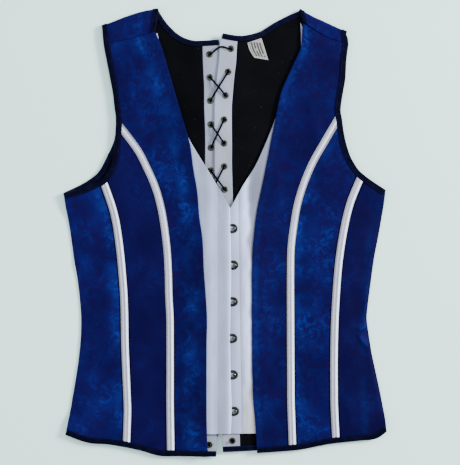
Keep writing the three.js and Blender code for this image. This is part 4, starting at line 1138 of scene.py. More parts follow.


# Figured silk: a scroll's cell and bend in millimetres, its curl and its petals, and where the small
# scrolls start. A painted shadow beside each tape lies between two distances from a seam. The default
# painted sheen streak lies off every panel
LARGE_SCROLL = (30.0, 20.0)
SMALL_SCROLL = (12.5, 10.0)
SMALL_SHIFT = (0.31, 0.17, 0.0)
SCROLL_CURL = 12.5
SCROLL_PETALS = 5.0
TAPE_SHADOW_NEAR = (4.6 * MM, 5.4 * MM)
TAPE_SHADOW_FAR = (8.0 * MM, 6.9 * MM)
NO_SHEEN_STREAK = (-200.0, 20.0)
SILK_GLINT = (0.16, 0.12, 1.0, 1.0)

# Shift and turn of each silk's pattern, then its painted light or shade (a scale on its colours), the
# strength of its figures and its painted sheen streak
BACK_SILK = {"left": ((13, 47), 0.03), "right": ((71, -22), -0.02, 1.15)}
FRONT_SILK = {
    "left": {"centre": ((-37, 12), 0.05, 1.0, 1.1, (24, 22)), "middle": ((55, 91), -0.04, 0.9, 0.35),
             "side": ((-8, -66), 0.02, 1.22, 0.9, (9, 26))},
    "right": {"centre": ((101, 33), -0.06, 0.88, 0.95, (6, 11)),
              "middle": ((-64, -19), 0.05, 1.0, 1.1, (8, 28)),
              "side": ((22, 58), -0.03, 0.70, 0.6, (44, 12))},
}

# Painted shade on each strip: the lightness of its satin and of its clouded shade colour, darker on the left
STRIP_SHADING = {"left": (0.66, 0.62), "right": (0.80, 0.72)}

# Painted light and shade of the soft folds down the inner fronts: (place across the cloth, brightness) stops,
# their slant, their wander
SATIN_FOLD_SHADING = {
    "left": (((-42.0, 0.46), (-34.0, 0.43), (-29.5, 0.42), (-24.5, 0.50), (-19.5, 0.64), (-13.0, 0.55),
              (-10.8, 0.40), (-9.0, 0.37), (-2.0, 0.39), (2.0, 0.46), (5.0, 0.64), (6.6, 1.0), (9.0, 1.0)),
             0.0, 0.0),
    "right": (((6.5, 0.44), (11.0, 0.52), (17.0, 0.62), (20.3, 0.64), (21.3, 0.38), (23.5, 0.54),
               (29.0, 0.84), (33.0, 0.90), (36.0, 0.56), (38.5, 0.28), (44.0, 0.22)), 0.0138, 16.0),
}

# Where painted shade darkens the satin right of the busk, towards the hem, and its colour
HEM_SHADE_LEVEL = (-205 * MM, -258 * MM)
HEM_SHADE_EDGE = (25 * MM, 32 * MM)
HEM_SHADE_COLOUR = (0.32, 0.30, 0.28)

# Painted light and shade across a tape: a shaded channel, painted shade in the groove, then a painted
# highlight on the channel turned to the light
TAPE_SHADING = ((0.0, 0.14), (1.3, 0.33), (3.4, 0.37), (6.3, 0.33), (7.1, 0.21), (7.9, 0.56), (9.6, 1.0),
              (11.8, 0.90), (13.0, 0.46), (14.0, 0.18))

BINDING_GLINT = (0.28, 0.34, 1.0, 1.0)
STRAND_PITCH = 1.26
THREADS = {"navy": (0.004, 0.008, 0.030), "blue": (0.0015, 0.004, 0.035), "white": (0.42, 0.44, 0.48),
           "black": (0.003, 0.003, 0.004)}
LABEL_COLOUR = (0.25, 0.255, 0.245)
LABEL_INK = (0.012, 0.012, 0.014)
LABEL_ROW = 4.1

# The picture's frame: its height in pixels, millimetres to a pixel, and its middle in metres
PHOTO_HEIGHT = 465
PHOTO_SCALE = 1.5
PHOTO_CENTRE = np.array([0.006, 0.0015])
LENS = 100.0
SENSOR = 36.0
CAMERA_LEVEL = 0.009

# Lamps: name, place, size, power and tint
LAMPS = (
    ("key", (2.9, 1.0, 1.9), 1.2, 270.0, (1.0, 0.98, 0.95)),
    ("fill", (-2.4, -0.6, 2.4), 1.6, 30.0, (0.92, 0.96, 1.0)),
    ("top", (0.1, 1.2, 2.4), 1.8, 22.0, (0.97, 0.99, 1.0)),
)
WORLD_COLOUR = (0.94, 0.97, 1.0, 1)
WORLD_LIGHT = 0.95


class Shader(Tree):
    """A node material. Its sizes are given in millimetres, and its places and lengths are in metres."""

    def __init__(self, name):
        self.material = bpy.data.materials.new(name)
        self.material.use_nodes = True
        super().__init__(self.material.node_tree)
        self.tree.nodes.clear()

    def out(self, made, key=0):
        return Value(self, made.outputs[key])

    def vectors(self, operation, *values):
        return self.operation("ShaderNodeVectorMath", operation, values)

    def split(self, vector):
        made = self.node("ShaderNodeSeparateXYZ", Vector=vector)
        return [self.out(made, i) for i in range(3)]

    def smooth(self, value, low, high):
        """0 at low, 1 at high and an eased rise between them; low may be the greater."""
        settings = {"interpolation_type": "SMOOTHSTEP"}
        return self.out(self.node("ShaderNodeMapRange", settings, Value=value, From_Min=low, From_Max=high))

    def most(self, first, second):
        return self.maths("MAXIMUM", first, second)

    def wave(self, value, length):
        """Sine of a distance that repeats after each length."""
        return self.maths("SINE", value * (2 * math.pi / (length * MM)))

    def mix(self, share, first, second):
        ends = [end if isinstance(end, Value) else rgba(end) for end in (first, second)]
        made = self.node("ShaderNodeMix", {"data_type": "RGBA"}, i0=share, i6=ends[0], i7=ends[1])
        return self.out(made, 2)

    def ramp(self, value, stops):
        """Piecewise blend of shares over a distance, from (millimetres, share) stops."""
        low, high = stops[0][0], stops[-1][0]
        made = self.node("ShaderNodeValToRGB", Fac=(value / MM - low) / (high - low))
        made.color_ramp.interpolation = "EASE"
        elements = made.color_ramp.elements
        for element, (_, share) in zip(elements, (stops[0], stops[-1])):
            element.color = rgba([share] * 3)
        for reach, share in stops[1:-1]:
            elements.new((reach - low) / (high - low)).color = rgba([share] * 3)
        return self.out(made)

    def noise(self, place, size, detail=3.0, stretch=(1, 1, 1), roughness=0.5, key="Fac"):
        """Soft noise whose features are about size millimetres wide."""
        scaled = self.vectors("MULTIPLY", place, stretch)
        made = self.node("ShaderNodeTexNoise", Vector=scaled, Scale=1 / (size * MM), Detail=detail,
                         Roughness=roughness)
        return self.out(made, key)

    def patches(self, low, high, *noise):
        """Soft patches, where a noise rises from low to high."""
        return self.smooth(self.noise(*noise), low, high)

    def place(self):
        return self.out(self.node("ShaderNodeTexCoord"), "Object")

    def uv(self):
        return self.out(self.node("ShaderNodeTexCoord"), "UV")

    def attribute(self, name):
        return self.out(self.node("ShaderNodeAttribute", {"attribute_name": name}), "Fac")

    def finish(self, colour, roughness, relief=None, strength=1.0, **inputs):
        """The material, from its colour, roughness and relief and the surface's further inputs."""
        if relief is not None:
            inputs["Normal"] = self.out(self.node("ShaderNodeBump", Height=relief, Distance=MM,
                                                  Strength=strength))
        surface = self.node("ShaderNodeBsdfPrincipled", Base_Color=colour, Roughness=roughness, **inputs)
        self.tree.links.new(surface.outputs[0], self.node("ShaderNodeOutputMaterial").inputs[0])
        return self.material


def rgba(colour):
    return (*tuple(colour)[:3], 1.0)


def scaled_colour(colour, share):
    return tuple(min(1.0, c * share) for c in tuple(colour)[:3])


def scrolls(shader, place, cell, warp):
    """Mask of loose scrolls and paisley drops, one to a cell, bent by the warp's millimetres."""
    wander = shader.noise(place, cell * 1.3, 1.0, key="Color")
    wander = shader.vectors("SUBTRACT", wander, (0.5, 0.5, 0.5))
    bent = shader.vectors("MULTIPLY_ADD", wander, (warp * MM, warp * MM, 0.0), place)
    cells = shader.node("ShaderNodeTexVoronoi", {"voronoi_dimensions": "2D"}, Vector=bent,
                        Scale=1 / (cell * MM), Randomness=0.85)
    x, y, _ = shader.split(shader.vectors("SUBTRACT", bent, shader.out(cells, "Position")))
    chance, second, _ = shader.split(shader.out(cells, "Color"))
    angle = shader.maths("ARCTAN2", y, x)
    radius = shader.maths("SQRT", x * x + y * y) / (cell * MM)
    handed = shader.maths("SIGN", second - 0.5)
    curl = shader.maths("SINE", angle + handed * radius * SCROLL_CURL + chance * 6.283)
    arms = shader.smooth(curl, -0.05, 0.70) * shader.smooth(radius, 0.54, 0.34)
    heart = shader.smooth(radius, 0.10, 0.06)
    petals = shader.maths("SINE", angle * SCROLL_PETALS + second * 20.0 + radius * 6.0)
    fringe = shader.smooth(petals, 0.0, 0.9) * shader.smooth(radius, 0.34, 0.42)
    fringe = fringe * shader.smooth(radius, 0.68, 0.46)
    return shader.most(shader.most(arms, heart), fringe * 0.8)


def figured_silk(name, look, shift, turn, light=1.0, strength=1.0, sheen_streak=NO_SHEEN_STREAK):
    """Tone-on-tone figured silk: a dark ground, soft scrolls in the weft and a drift of painted sheen.

    The sheen streak is one painted paler stripe down the panel: its distance from the panel's first
    edge, and its width. A painted shadow lies beside each tape, raised creases get a painted highlight,
    and light scales the colours as the panel's painted light or shade."""
    shader = Shader(name)
    at = shader.place()
    turned = shader.out(shader.node("ShaderNodeMapping", Vector=at, Rotation=(0, 0, turn),
                                    Location=(shift[0] * MM, shift[1] * MM, 0)))
    large = scrolls(shader, turned, *LARGE_SCROLL)
    small = scrolls(shader, shader.vectors("ADD", turned, SMALL_SHIFT), *SMALL_SCROLL)
    # Painted sheen: broad drifting patches that lighten the ground and the scrolls, and a paler painted
    # streak down the panel
    drift = shader.noise(turned, 58.0)
    gap = abs(shader.split(shader.uv())[0] - sheen_streak[0] * MM)
    sheen_band = shader.smooth(gap, sheen_streak[1] * MM, 0.0) * shader.smooth(drift, 0.25, 0.60)
    sheen_patch = shader.smooth(drift, 0.42, 0.70)
    sprinkle = shader.patches(0.40, 0.64, turned, 30.0, 2.0)
    worn = shader.patches(0.30, 0.66, turned, 7.0, 4.0)
    cloud = shader.patches(0.40, 0.70, turned, 21.0, 4.0) * 0.30 * strength
    figure = shader.most(large * (0.50 + sheen_patch * 0.50), small * sprinkle * 0.85)
    figure = figure * (0.35 + worn * 0.65) * strength
    slub = shader.noise(at, 0.9, 2.0, (0.35, 1.0, 1.0), 0.6)
    # Painted shadow beside each tape, between two distances from the seam under it
    seam = shader.attribute("seam")
    painted_tape_shadow = shader.smooth(seam, *TAPE_SHADOW_NEAR) * shader.smooth(seam, *TAPE_SHADOW_FAR)
    # Painted highlight on the raised creases
    ridge_highlight = shader.smooth(shader.attribute("ridge"), 0.5, 1.9)
    # The ground lightens with the painted sheen; light scales the colours as the panel's painted light or
    # shade
    ground = shader.mix(shader.smooth(drift, 0.30, 0.65), scaled_colour(look.silk_ground, 0.80 * light),
                        scaled_colour(look.silk_ground, 1.25 * light))
    lit = shader.mix(shader.most(sheen_patch * 0.6, sheen_band), scaled_colour(look.silk_figure, 0.8 * light),
                     scaled_colour(look.silk_sheen, light))
    share = shader.most(figure * (0.72 + sheen_band * 0.28), cloud + sheen_band * 0.18)
    colour = shader.mix(shader.most(share, ridge_highlight * 0.62), ground, lit)
    colour = shader.mix(shader.smooth(slub, 0.35, 0.75) * 0.15, colour,
                        scaled_colour(look.silk_figure, light))
    # The painted shadow by the tapes darkens the colour last
    colour = shader.mix(painted_tape_shadow * 0.85, colour, scaled_colour(look.silk_ground, 0.22))
    relief = figure * 0.16 + slub * 0.10 + shader.wave(shader.split(at)[0], 0.7) * 0.02
    return shader.finish(colour, 0.56 - figure * 0.12, relief, 0.55,
                         Specular_IOR_Level=0.12, Specular_Tint=SILK_GLINT)


def satin(name, colour, shade, fold_shading=None, tilt=0.0, wobble=0.0):
    """Plain satin: faint slubs along the warp, soft clouding and a fine twill.

    Fold shading is painted light and shade of soft folds down the cloth, as (place in millimetres,
    brightness) stops across it, with their slant and how far they wander; the lit parts are painted
    bluer. Satin with fold shading also gets painted shade towards the hem, right of the busk."""
    shader = Shader(name)
    at = shader.place()
    x, y, _ = shader.split(at)
    slub = shader.noise(at, 2.4, 3.0, (1.0, 0.16, 1.0), 0.6)
    cloud = shader.patches(0.35, 0.68, at, 46.0, 2.0, (1.0, 0.55, 1.0))
    mixed = shader.mix(cloud, scaled_colour(colour, 1.0), shade)
    mixed = shader.mix(shader.smooth(slub, 0.38, 0.72) * 0.25, mixed, scaled_colour(shade, 0.95))
    if fold_shading:
        # Painted light and shade of the folds across the cloth, with the lit parts painted bluer
        level = shader.out(shader.node("ShaderNodeCombineXYZ", Y=y))
        wander = shader.noise(level, 36.0, 1.0) - 0.5
        wander = shader.smooth(x, 24 * MM, 30 * MM) * wander * (wobble * MM)
        tone = shader.ramp(x + y * tilt + wander, fold_shading)
        hue = shader.mix(tone, (0.98, 0.96, 1.0), (0.88, 1.0, 1.18))
        mixed = shader.vectors("MULTIPLY", mixed, hue)
        mixed = shader.vectors("MULTIPLY", mixed, tone * 2.0)
        # Painted shade towards the hem, right of the busk
        hem_shade = shader.smooth(y, *HEM_SHADE_LEVEL) * shader.smooth(x, *HEM_SHADE_EDGE)
        mixed = shader.mix(hem_shade * 0.75, mixed, HEM_SHADE_COLOUR)
    twill = shader.wave(x + y * 0.45, 0.65)
    pucker = shader.noise(at, 11.0, 2.0, (1.0, 0.5, 1.0))
    return shader.finish(mixed, 0.44 + slub * 0.10, slub * 0.09 + twill * 0.018 + pucker * 0.30, 0.5,
                         Sheen_Weight=0.1, Sheen_Roughness=0.35, Specular_IOR_Level=0.3)


def plain_weave(name, colour):
    """Close plain-woven lining with a faint fleck of lint."""
    shader = Shader(name)
    at = shader.place()
    x, y, _ = shader.split(at)
    weave = shader.wave(x, 0.9) * shader.wave(y, 0.9)
    cloud = shader.patches(0.3, 0.75, at, 38.0)
    lint = shader.patches(0.79, 0.83, at, 2.2, 1.0)
    mixed = shader.mix(cloud, scaled_colour(colour, 0.8), scaled_colour(colour, 1.5))
    mixed = shader.mix(lint * 0.35, mixed, (0.25, 0.25, 0.27))
    return shader.finish(mixed, 0.72, weave * 0.05 + shader.noise(at, 17.0, 2.0) * 0.35, 0.4,
                         Specular_IOR_Level=0.03)


def bias_tape(name, colour, light):
    """Satin bias binding: a slanting twill, stitched puckers, rubbed parts and a speckled painted highlight
    along the middle of its top.
    """
    shader = Shader(name)
    along, across, _ = shader.split(shader.uv())
    twill = shader.wave(along + across, 0.8)
    pucker = shader.noise(shader.uv(), 4.2, 2.0, (1.0, 0.35, 1.0))
    rub = shader.patches(0.45, 0.75, shader.place(), 9.0)
    mixed = shader.mix(rub * 0.7 + shader.smooth(pucker, 0.4, 0.8) * 0.3, colour, light)
    # Speckled painted highlight along the binding's top, near its fold, in the rubbed colour made brighter
    middle = shader.smooth(abs(across - BINDING_TOP_MIDDLE * MM), 2.0 * MM, 0.6 * MM)
    highlight_fleck = shader.patches(0.44, 0.62, shader.uv(), 2.4, 2.0)
    mixed = shader.mix(middle * highlight_fleck * 0.55, mixed, scaled_colour(light, 2.6))
    return shader.finish(mixed, 0.46, twill * 0.03 + pucker * 0.5, 0.6,
                         Specular_IOR_Level=0.06, Specular_Tint=BINDING_GLINT)


def herringbone(name, colour, shade):
    """Boning tape of cotton twill whose slant turns at the middle, with painted light and shade across its
    two channels.
    """
    shader = Shader(name)
    across, along, _ = shader.split(shader.uv())
    rib = shader.wave(along + abs(across - TAPE_WIDTH / 2 * MM) * 1.2, 0.9)
    grub = shader.patches(0.35, 0.75, shader.place(), 6.0)
    mixed = shader.mix(grub * 0.55, colour, shade)
    mixed = shader.mix(shader.smooth(rib, 0.2, 1.0) * 0.18, mixed, scaled_colour(shade, 0.8))
    # Painted light and shade across the tape: shade on one channel and in the groove, a highlight on the
    # channel turned to the light, bluer where lit
    tone = shader.ramp(across, TAPE_SHADING)
    mixed = shader.vectors("MULTIPLY", mixed, shader.mix(tone, (1.04, 0.93, 1.02), (0.86, 1.0, 1.20)))
    mixed = shader.vectors("MULTIPLY", mixed, tone * 2.35)
    return shader.finish(mixed, 0.62, rib * 0.07 + grub * 0.12, 0.6, Sheen_Weight=0.2, Specular_IOR_Level=0.3)


def thread(name, colour):
    """Slightly fuzzy sewing thread."""
    shader = Shader(name)
    fuzz = shader.noise(shader.place(), 0.35, 2.0)
    mixed = shader.mix(shader.smooth(fuzz, 0.3, 0.7), scaled_colour(colour, 0.8), scaled_colour(colour, 1.25))
    return shader.finish(mixed, 0.55, fuzz * 0.1, 0.4, Specular_IOR_Level=0.12)


def braid(name, colour):
    """Round braided cord: two sets of strands that cross."""
    shader = Shader(name)
    along, around, _ = shader.split(shader.uv())
    plait = shader.most(shader.wave(along + around, STRAND_PITCH), shader.wave(along - around, STRAND_PITCH))
    mixed = shader.mix(shader.smooth(plait, 0.2, 1.0), scaled_colour(colour, 0.6), scaled_colour(colour, 1.8))
    return shader.finish(mixed, 0.8, plait * 0.08, 0.7, Specular_IOR_Level=0.03)


def worn_metal(name, bright, dark, rough):
    """Plated steel, duller in its hollows and finely scratched."""
    shader = Shader(name)
    at = shader.place()
    stain = shader.patches(0.38, 0.66, at, 2.6, 4.0)
    scratch = shader.noise(at, 0.5, 2.0, (1.0, 0.12, 1.0))
    return shader.finish(shader.mix(stain, bright, dark), rough + stain * 0.15 + scratch * 0.08,
                         scratch * 0.03 + stain * 0.04, 0.4, Metallic=1.0)


def care_label(name, colour, ink):
    """Soft label with rows of short blank dashes inside a margin."""
    shader = Shader(name)
    across, along, _ = shader.split(shader.uv())
    row = shader.maths("FRACT", across / (LABEL_ROW * MM) + 0.1)
    line = shader.smooth(row, 0.12, 0.24) * shader.smooth(row, 0.90, 0.78)
    dash = shader.patches(0.30, 0.42, shader.uv(), 2.1, 1.0, (0.3, 1.0, 1.0))
    printed = shader.smooth(along, 3.0 * MM, 3.6 * MM) * shader.smooth(along, 27.0 * MM, 26.2 * MM)
    printed = printed * shader.smooth(across, 2.0 * MM, 2.4 * MM)
    printed = printed * shader.smooth(across, 21.4 * MM, 21.0 * MM)
    mixed = shader.mix(line * dash * printed, colour, ink)
    return shader.finish(mixed, 0.5, shader.noise(shader.place(), 5.0, 2.0) * 0.3, 0.4, Sheen_Weight=0.1)


def pale_floor(name, colour):
    """Matt table, faintly mottled."""
    shader = Shader(name)
    grain = shader.noise(shader.place(), 9.0)
    mixed = shader.mix(grain * 0.25, colour, scaled_colour(colour, 0.985))
    return shader.finish(mixed, 0.95, Specular_IOR_Level=0.1)


class Nodes(Tree):
    """A Geometry Nodes tree with named inputs."""

    def __init__(self, name, sizes):
        super().__init__(bpy.data.node_groups.new(name, "GeometryNodeTree"))
        for way in ("INPUT", "OUTPUT"):
            self.tree.interface.new_socket("Geometry", in_out=way, socket_type="NodeSocketGeometry")
        self.sizes = dict(sizes)
        self.identifiers = {}
        for key in self.sizes:
            kind = "NodeSocketInt" if key == "Seed" else "NodeSocketFloat"
            made = self.tree.interface.new_socket(key, in_out="INPUT", socket_type=kind)
            self.identifiers[key] = made.identifier
        self.source = self.tree.nodes.new("NodeGroupInput")

    def first(self, kind, settings=None, **sockets):
        """The first output of a new node."""
        return self.out(self.node(kind, settings, **sockets))

    def given(self, name):
        """An input of the tree, by its name."""
        return self.source.outputs[name]

    def finish(self, geometry, material):
        real = self.first("GeometryNodeRealizeInstances", Geometry=geometry)
        smooth = self.first("GeometryNodeSetShadeSmooth", Geometry=real)
        painted = self.first("GeometryNodeSetMaterial", Geometry=smooth, Material=material)
        self.tree.links.new(painted, self.tree.nodes.new("NodeGroupOutput").inputs[0])

    def grow(self, piece):
        """Runs the tree on a piece and keeps the result as its plain mesh."""
        modifier = piece.modifiers.new("grow", "NODES")
        modifier.node_group = self.tree
        for key, value in self.sizes.items():
            modifier[self.identifiers[key]] = value
        bake_modifiers(piece)


def stitch_tree(name, material, pitch, length, thickness, seed):
    """Stitches set along edges: small capsules that follow the line, a little uneven."""
    nodes = Nodes(name, {"Pitch": pitch * MM, "Length": length * MM, "Thickness": thickness * MM,
                         "Seed": seed})
    curve = nodes.first("GeometryNodeMeshToCurve", Mesh=nodes.given("Geometry"))
    even = nodes.first("GeometryNodeResampleCurve", {"mode": "LENGTH"}, Curve=curve,
                       Length=nodes.given("Pitch"))
    tangent = nodes.first("GeometryNodeInputTangent")
    turned = nodes.first("FunctionNodeAlignRotationToVector", {"axis": "X"}, Vector=tangent)
    sway = nodes.node("FunctionNodeRandomValue", {"data_type": "FLOAT"}, i2=-STITCH_SWAY, i3=STITCH_SWAY,
                      Seed=nodes.given("Seed"))
    swayed = nodes.first("ShaderNodeCombineXYZ", Z=nodes.out(sway, 1))
    rotation = nodes.first("FunctionNodeRotateRotation", {"rotation_space": "GLOBAL"}, Rotation=turned,
                           Rotate_By=swayed)
    ball = nodes.first("GeometryNodeMeshIcoSphere", Radius=1.0, Subdivisions=1)
    half_long = nodes.maths("MULTIPLY", nodes.given("Length"), 0.5)
    half_thick = nodes.maths("MULTIPLY", nodes.given("Thickness"), 0.5)
    scale = nodes.first("ShaderNodeCombineXYZ", X=half_long, Y=half_thick, Z=half_thick)
    stitch = nodes.first("GeometryNodeTransform", Geometry=ball, Scale=scale)
    placed = nodes.first("GeometryNodeInstanceOnPoints", Points=even, Instance=stitch, Rotation=rotation)
    nodes.finish(placed, material)
    return nodes


def eyelet_tree(name, material, outer, inner, flange, barrel):
    """Rolled eyelets on points: a domed flange and a barrel that goes down through the cloth."""
    nodes = Nodes(name, {"Outer radius": outer * MM, "Inner radius": inner * MM,
                         "Flange height": flange * MM, "Barrel depth": barrel * MM})
    maths, given = nodes.maths, nodes.given
    wall = EYELET_WALL * MM
    middle = maths("MULTIPLY", maths("ADD", given("Outer radius"), given("Inner radius")), 0.5)
    half = maths("MULTIPLY", maths("SUBTRACT", given("Outer radius"), given("Inner radius")), 0.5)

    def ring(radius, profile_radius, tall, drop, around, section):
        path = nodes.first("GeometryNodeCurvePrimitiveCircle", Radius=radius, Resolution=around)
        profile = nodes.first("GeometryNodeCurvePrimitiveCircle", Radius=profile_radius, Resolution=section)
        mesh = nodes.first("GeometryNodeCurveToMesh", Curve=path, Profile_Curve=profile)
        return nodes.first("GeometryNodeTransform", Geometry=mesh,
                           Translation=nodes.first("ShaderNodeCombineXYZ", Z=drop),
                           Scale=nodes.first("ShaderNodeCombineXYZ", X=1.0, Y=1.0, Z=tall))

    top = ring(middle, half, maths("DIVIDE", given("Flange height"), maths("MULTIPLY", half, 2.0)),
               0.0, 28, 10)
    under = ring(maths("ADD", given("Inner radius"), wall), wall,
                 maths("DIVIDE", given("Barrel depth"), 2 * wall),
                 maths("MULTIPLY", given("Barrel depth"), -0.5), 20, 8)
    joined = nodes.node("GeometryNodeJoinGeometry")
    for part in (under, top):
        nodes.tree.links.new(part, joined.inputs[0])
    placed = nodes.first("GeometryNodeInstanceOnPoints", Points=given("Geometry"), Instance=nodes.out(joined))
    nodes.finish(placed, material)
    return nodes


def stitch_rows(name, rows, tree):
    """One piece of stitching along several rows of points."""
    points, edges = [], []
    for row in rows:
        first = len(points)
        points += list(row)
        edges += [(first + i, first + i + 1) for i in range(len(row) - 1)]
    piece = new_object(name, points, edges)
    tree.grow(piece)
    return piece


def colour_field(name, description, default):
    return bpy.props.FloatVectorProperty(name=name, description=description, subtype="COLOR", size=3,
                                         default=default, min=0.0, max=1.0)


def size_field(name, description, default, low, high):
    return bpy.props.FloatProperty(name=name, description=f"{description}, in millimetres", default=default,
                                   min=low, max=high)


class WaistcoatLooks(bpy.types.PropertyGroup):
    """Colours of the cloths, the metal, the lace and the table."""

    silk_ground: colour_field("Silk ground", "Darker ground of the figured silk", (0.0030, 0.0010, 0.026))
    silk_figure: colour_field("Silk figure", "Scrolls of the figured silk", (0.0036, 0.0050, 0.080))
    # Colour of the painted sheen on the silk's scrolls
    silk_sheen: colour_field("Silk bloom", "Scrolls where the sheen is brightest", (0.0046, 0.019, 0.165))
    satin: colour_field("Satin", "White satin of the inner fronts and strips", (0.356, 0.405, 0.555))
    satin_shade: colour_field("Satin shade", "Softly clouded parts of the satin", (0.290, 0.315, 0.410))
    lining: colour_field("Lining", "Black lining", (0.0010, 0.0012, 0.0022))
    binding: colour_field("Binding", "Navy bias binding", (0.0010, 0.0007, 0.0044))
    # Colour of the rubbed patches of the binding; made brighter, also the painted highlight along its top
    binding_rub_and_highlight: colour_field("Rubbed binding", "Binding where it is rubbed", (0.0027, 0.0022, 0.0150))
    tape: colour_field("Boning tape", "White cotton twill tape", (0.43, 0.45, 0.50))
    tape_shade: colour_field("Tape shade", "Softly soiled parts of the tape", (0.35, 0.355, 0.385))
    metal: colour_field("Metal", "Plated eyelets and busk", (0.085, 0.085, 0.076))
    metal_dark: colour_field("Dull metal", "Metal in its hollows", (0.016, 0.016, 0.014))
    lace: colour_field("Lace", "Black braided lace", (0.0006, 0.0006, 0.0008))
    floor: colour_field("Table", "Pale table under the garment", (0.71, 0.98, 0.965))


class WaistcoatSizes(bpy.types.PropertyGroup):
    """Sizes of the stitches and the metal."""

    stitch_pitch: size_field("Stitch pitch", "Length of one stitch with its gap", 2.6, 1.0, 6.0)
    stitch_length: size_field("Stitch length", "Length of the thread that shows", 2.0, 0.5, 5.0)
    thread_thickness: size_field("Thread thickness", "Thickness of the thread", 0.42, 0.2, 1.0)
    topstitch_in: size_field("Topstitching", "Distance of the topstitching from the front edge",
                             8.4, 2.0, 20.0)
    eyelet_outer: size_field("Eyelet radius", "Outer radius of an eyelet", 5.0, 3.0, 8.0)
    eyelet_inner: size_field("Eyelet hole", "Radius of an eyelet's hole", 2.35, 1.0, 4.0)
    loop_band: size_field("Loop band", "Half the width of a busk loop's band", 1.9, 0.5, 2.0)


def looks():
    return bpy.context.scene.waistcoat_looks


def sizes():
    return bpy.context.scene.waistcoat_sizes


def sewn(name, rows, colour, seed, width=1.0):
    """Stitching as its own piece, riding on the garment. Each colour's thread is made once."""
    size = sizes()
    material = bpy.data.materials.get(f"thread {colour}") or thread(f"thread {colour}", THREADS[colour])
    tree = stitch_tree(f"{name} stitches", material, size.stitch_pitch, size.stitch_length,
                       size.thread_thickness * width, seed)
    return finish(stitch_rows(name, rows, tree), material)


def plan_row(line, low, height, start=0.0, end=1.0, count=200):
    """Points along a plan line, at a height above a surface."""
    points = line.at(np.linspace(start, end, count))
    return stacked(points, low(points) + height)


class Parts:
    """What the operators share: the two sides, and the panels and seams of the fronts."""

    def __init__(self):
        self.sides = [Side(name) for name in SIDES]
        self.panels = {}
        self.bones = {}


PARTS = Parts()


class WAISTCOAT_OT_backs(bpy.types.Operator):
    """Backs of figured silk, their black lining and the white eyelet strips"""

    bl_idname = "waistcoat.backs"
    bl_label = "Backs, lining and eyelet strips"

    def execute(self, context):
        look = looks()
        lining = plain_weave("black lining", look.lining)
        for side in PARTS.sides:
            name = side.name
            back, places = f"silk_back_{name}", eyelet_places(side)
            outer, inner, _ = back_faces(side)
            silk = figured_silk(f"silk back {name}", look, *BACK_SILK[name])
            piece = cloth(back, outer, inner)
            punch(piece, places)
            finish(piece, silk, [f"back_{name}"], cut_size(outer))
            outer, inner = lining_faces(side)
            piece = cloth(f"lining_{name}", outer, inner)
            finish(piece, lining, [f"back_lining_{name}"], cut_size(outer))
            outer, inner = strip_faces(side)
            piece = cloth(f"strip_{name}", outer, inner)
            punch(piece, places)
            rows = []
            for reach in STRIP_STITCHES:
                moved = side.line["centre"].moved((side.out * reach, 0))
                rows.append(plan_row(moved, side.stack_top, 0.05, 0.015, 0.985))
            stitches = sewn(f"stitches_strip_{name}", rows, "white", 3)
            # Painted shade: each strip's satin darkened, the left more than the right
            light, shade = STRIP_SHADING[name]
            material = satin(f"strip satin {name}", scaled_colour(look.satin, light),
                             scaled_colour(look.satin_shade, shade))
            finish(piece, material, [f"eyelet_strip_{name}"], cut_size(outer))
        return {"FINISHED"}


class WAISTCOAT_OT_inner_fronts(bpy.types.Operator):
    """White satin inner fronts, with the seams of the busk's channels"""

    bl_idname = "waistcoat.inner_fronts"
    bl_label = "Inner fronts"

    def execute(self, context):
        look = looks()
        for side in PARTS.sides:
            name, line = side.name, side.line
            outer, inner = inner_front_faces(side)
            piece = cloth(f"satin_front_{name}", outer, inner)
            material = satin(f"white satin {name}", look.satin, look.satin_shade, *SATIN_FOLD_SHADING[name])
            rows = [
                plan_row(Line.through(BUSK_CHANNEL[name]), side.inner_top, 0.04),
                plan_row(line["inner_edge"].moved((side.out * 1.8, 0)), side.inner_top, 0.04),
                plan_row(line["inner_neck"].set_off(-side.out * 2.0), side.inner_top, 0.04, 0.02, 0.98),
                plan_row(line["inner_hem"].moved((0, 9.0)), side.inner_top, 0.04),
            ]
            stitches = sewn(f"stitches_satin_{name}", rows, "white", 5, 0.85)
            finish(piece, material, [f"inner_front_{name}"], cut_size(outer))
        return {"FINISHED"}


class WAISTCOAT_OT_fronts(bpy.types.Operator):
    """Figured silk fronts, each of a centre, a middle and a side panel"""

    bl_idname = "waistcoat.fronts"
    bl_label = "Front panels"

    def execute(self, context):
        look = looks()
        for side in PARTS.sides:
            name = side.name
            PARTS.panels[name], PARTS.bones[name] = front_panels(side)
            for key, (outer, inner) in PARTS.panels[name].items():
                silk = figured_silk(f"silk {key} {name}", look, *FRONT_SILK[name][key])
                piece = cloth(f"silk_{key}_{name}", outer, inner)
                mark_panel(piece, outer, TAPED_COLUMNS[key], f"front_{name}")
                carried = []
                if key == "centre":
                    edge = side.line["front_edge"].set_off(-side.out * sizes().topstitch_in)
                    row = plan_row(edge, side.front_top, 0.05, 0.015, 0.985, 260)
                    carried = [sewn(f"stitches_edge_{name}", [row], "blue", 7)]
                finish(piece, silk, [f"front_{key}_{name}"], cut_size(outer))
        return {"FINISHED"}


class WAISTCOAT_OT_tapes(bpy.types.Operator):
    """White boning tapes over the seams, stitched along both edges and the middle"""

    bl_idname = "waistcoat.tapes"
    bl_label = "Boning tapes"

    def execute(self, context):
        look = looks()
        material = herringbone("boning tape", look.tape, look.tape_shade)
        for side in PARTS.sides:
            for place, bone in PARTS.bones[side.name].items():
                key = f"tape_{place}_{side.name}"
                outer, inner = tape_faces(side, bone)
                piece = cloth(key, outer, inner, soft=False)
                rows = [outer[4:-4, column] + [0, 0, 0.06] for column in TAPE_STITCHED]
                stitches = sewn(f"stitches_{key}", rows, "white", 11, 0.8)
                finish(piece, material, [f"bone_{key}"], cut_size(outer))
        return {"FINISHED"}


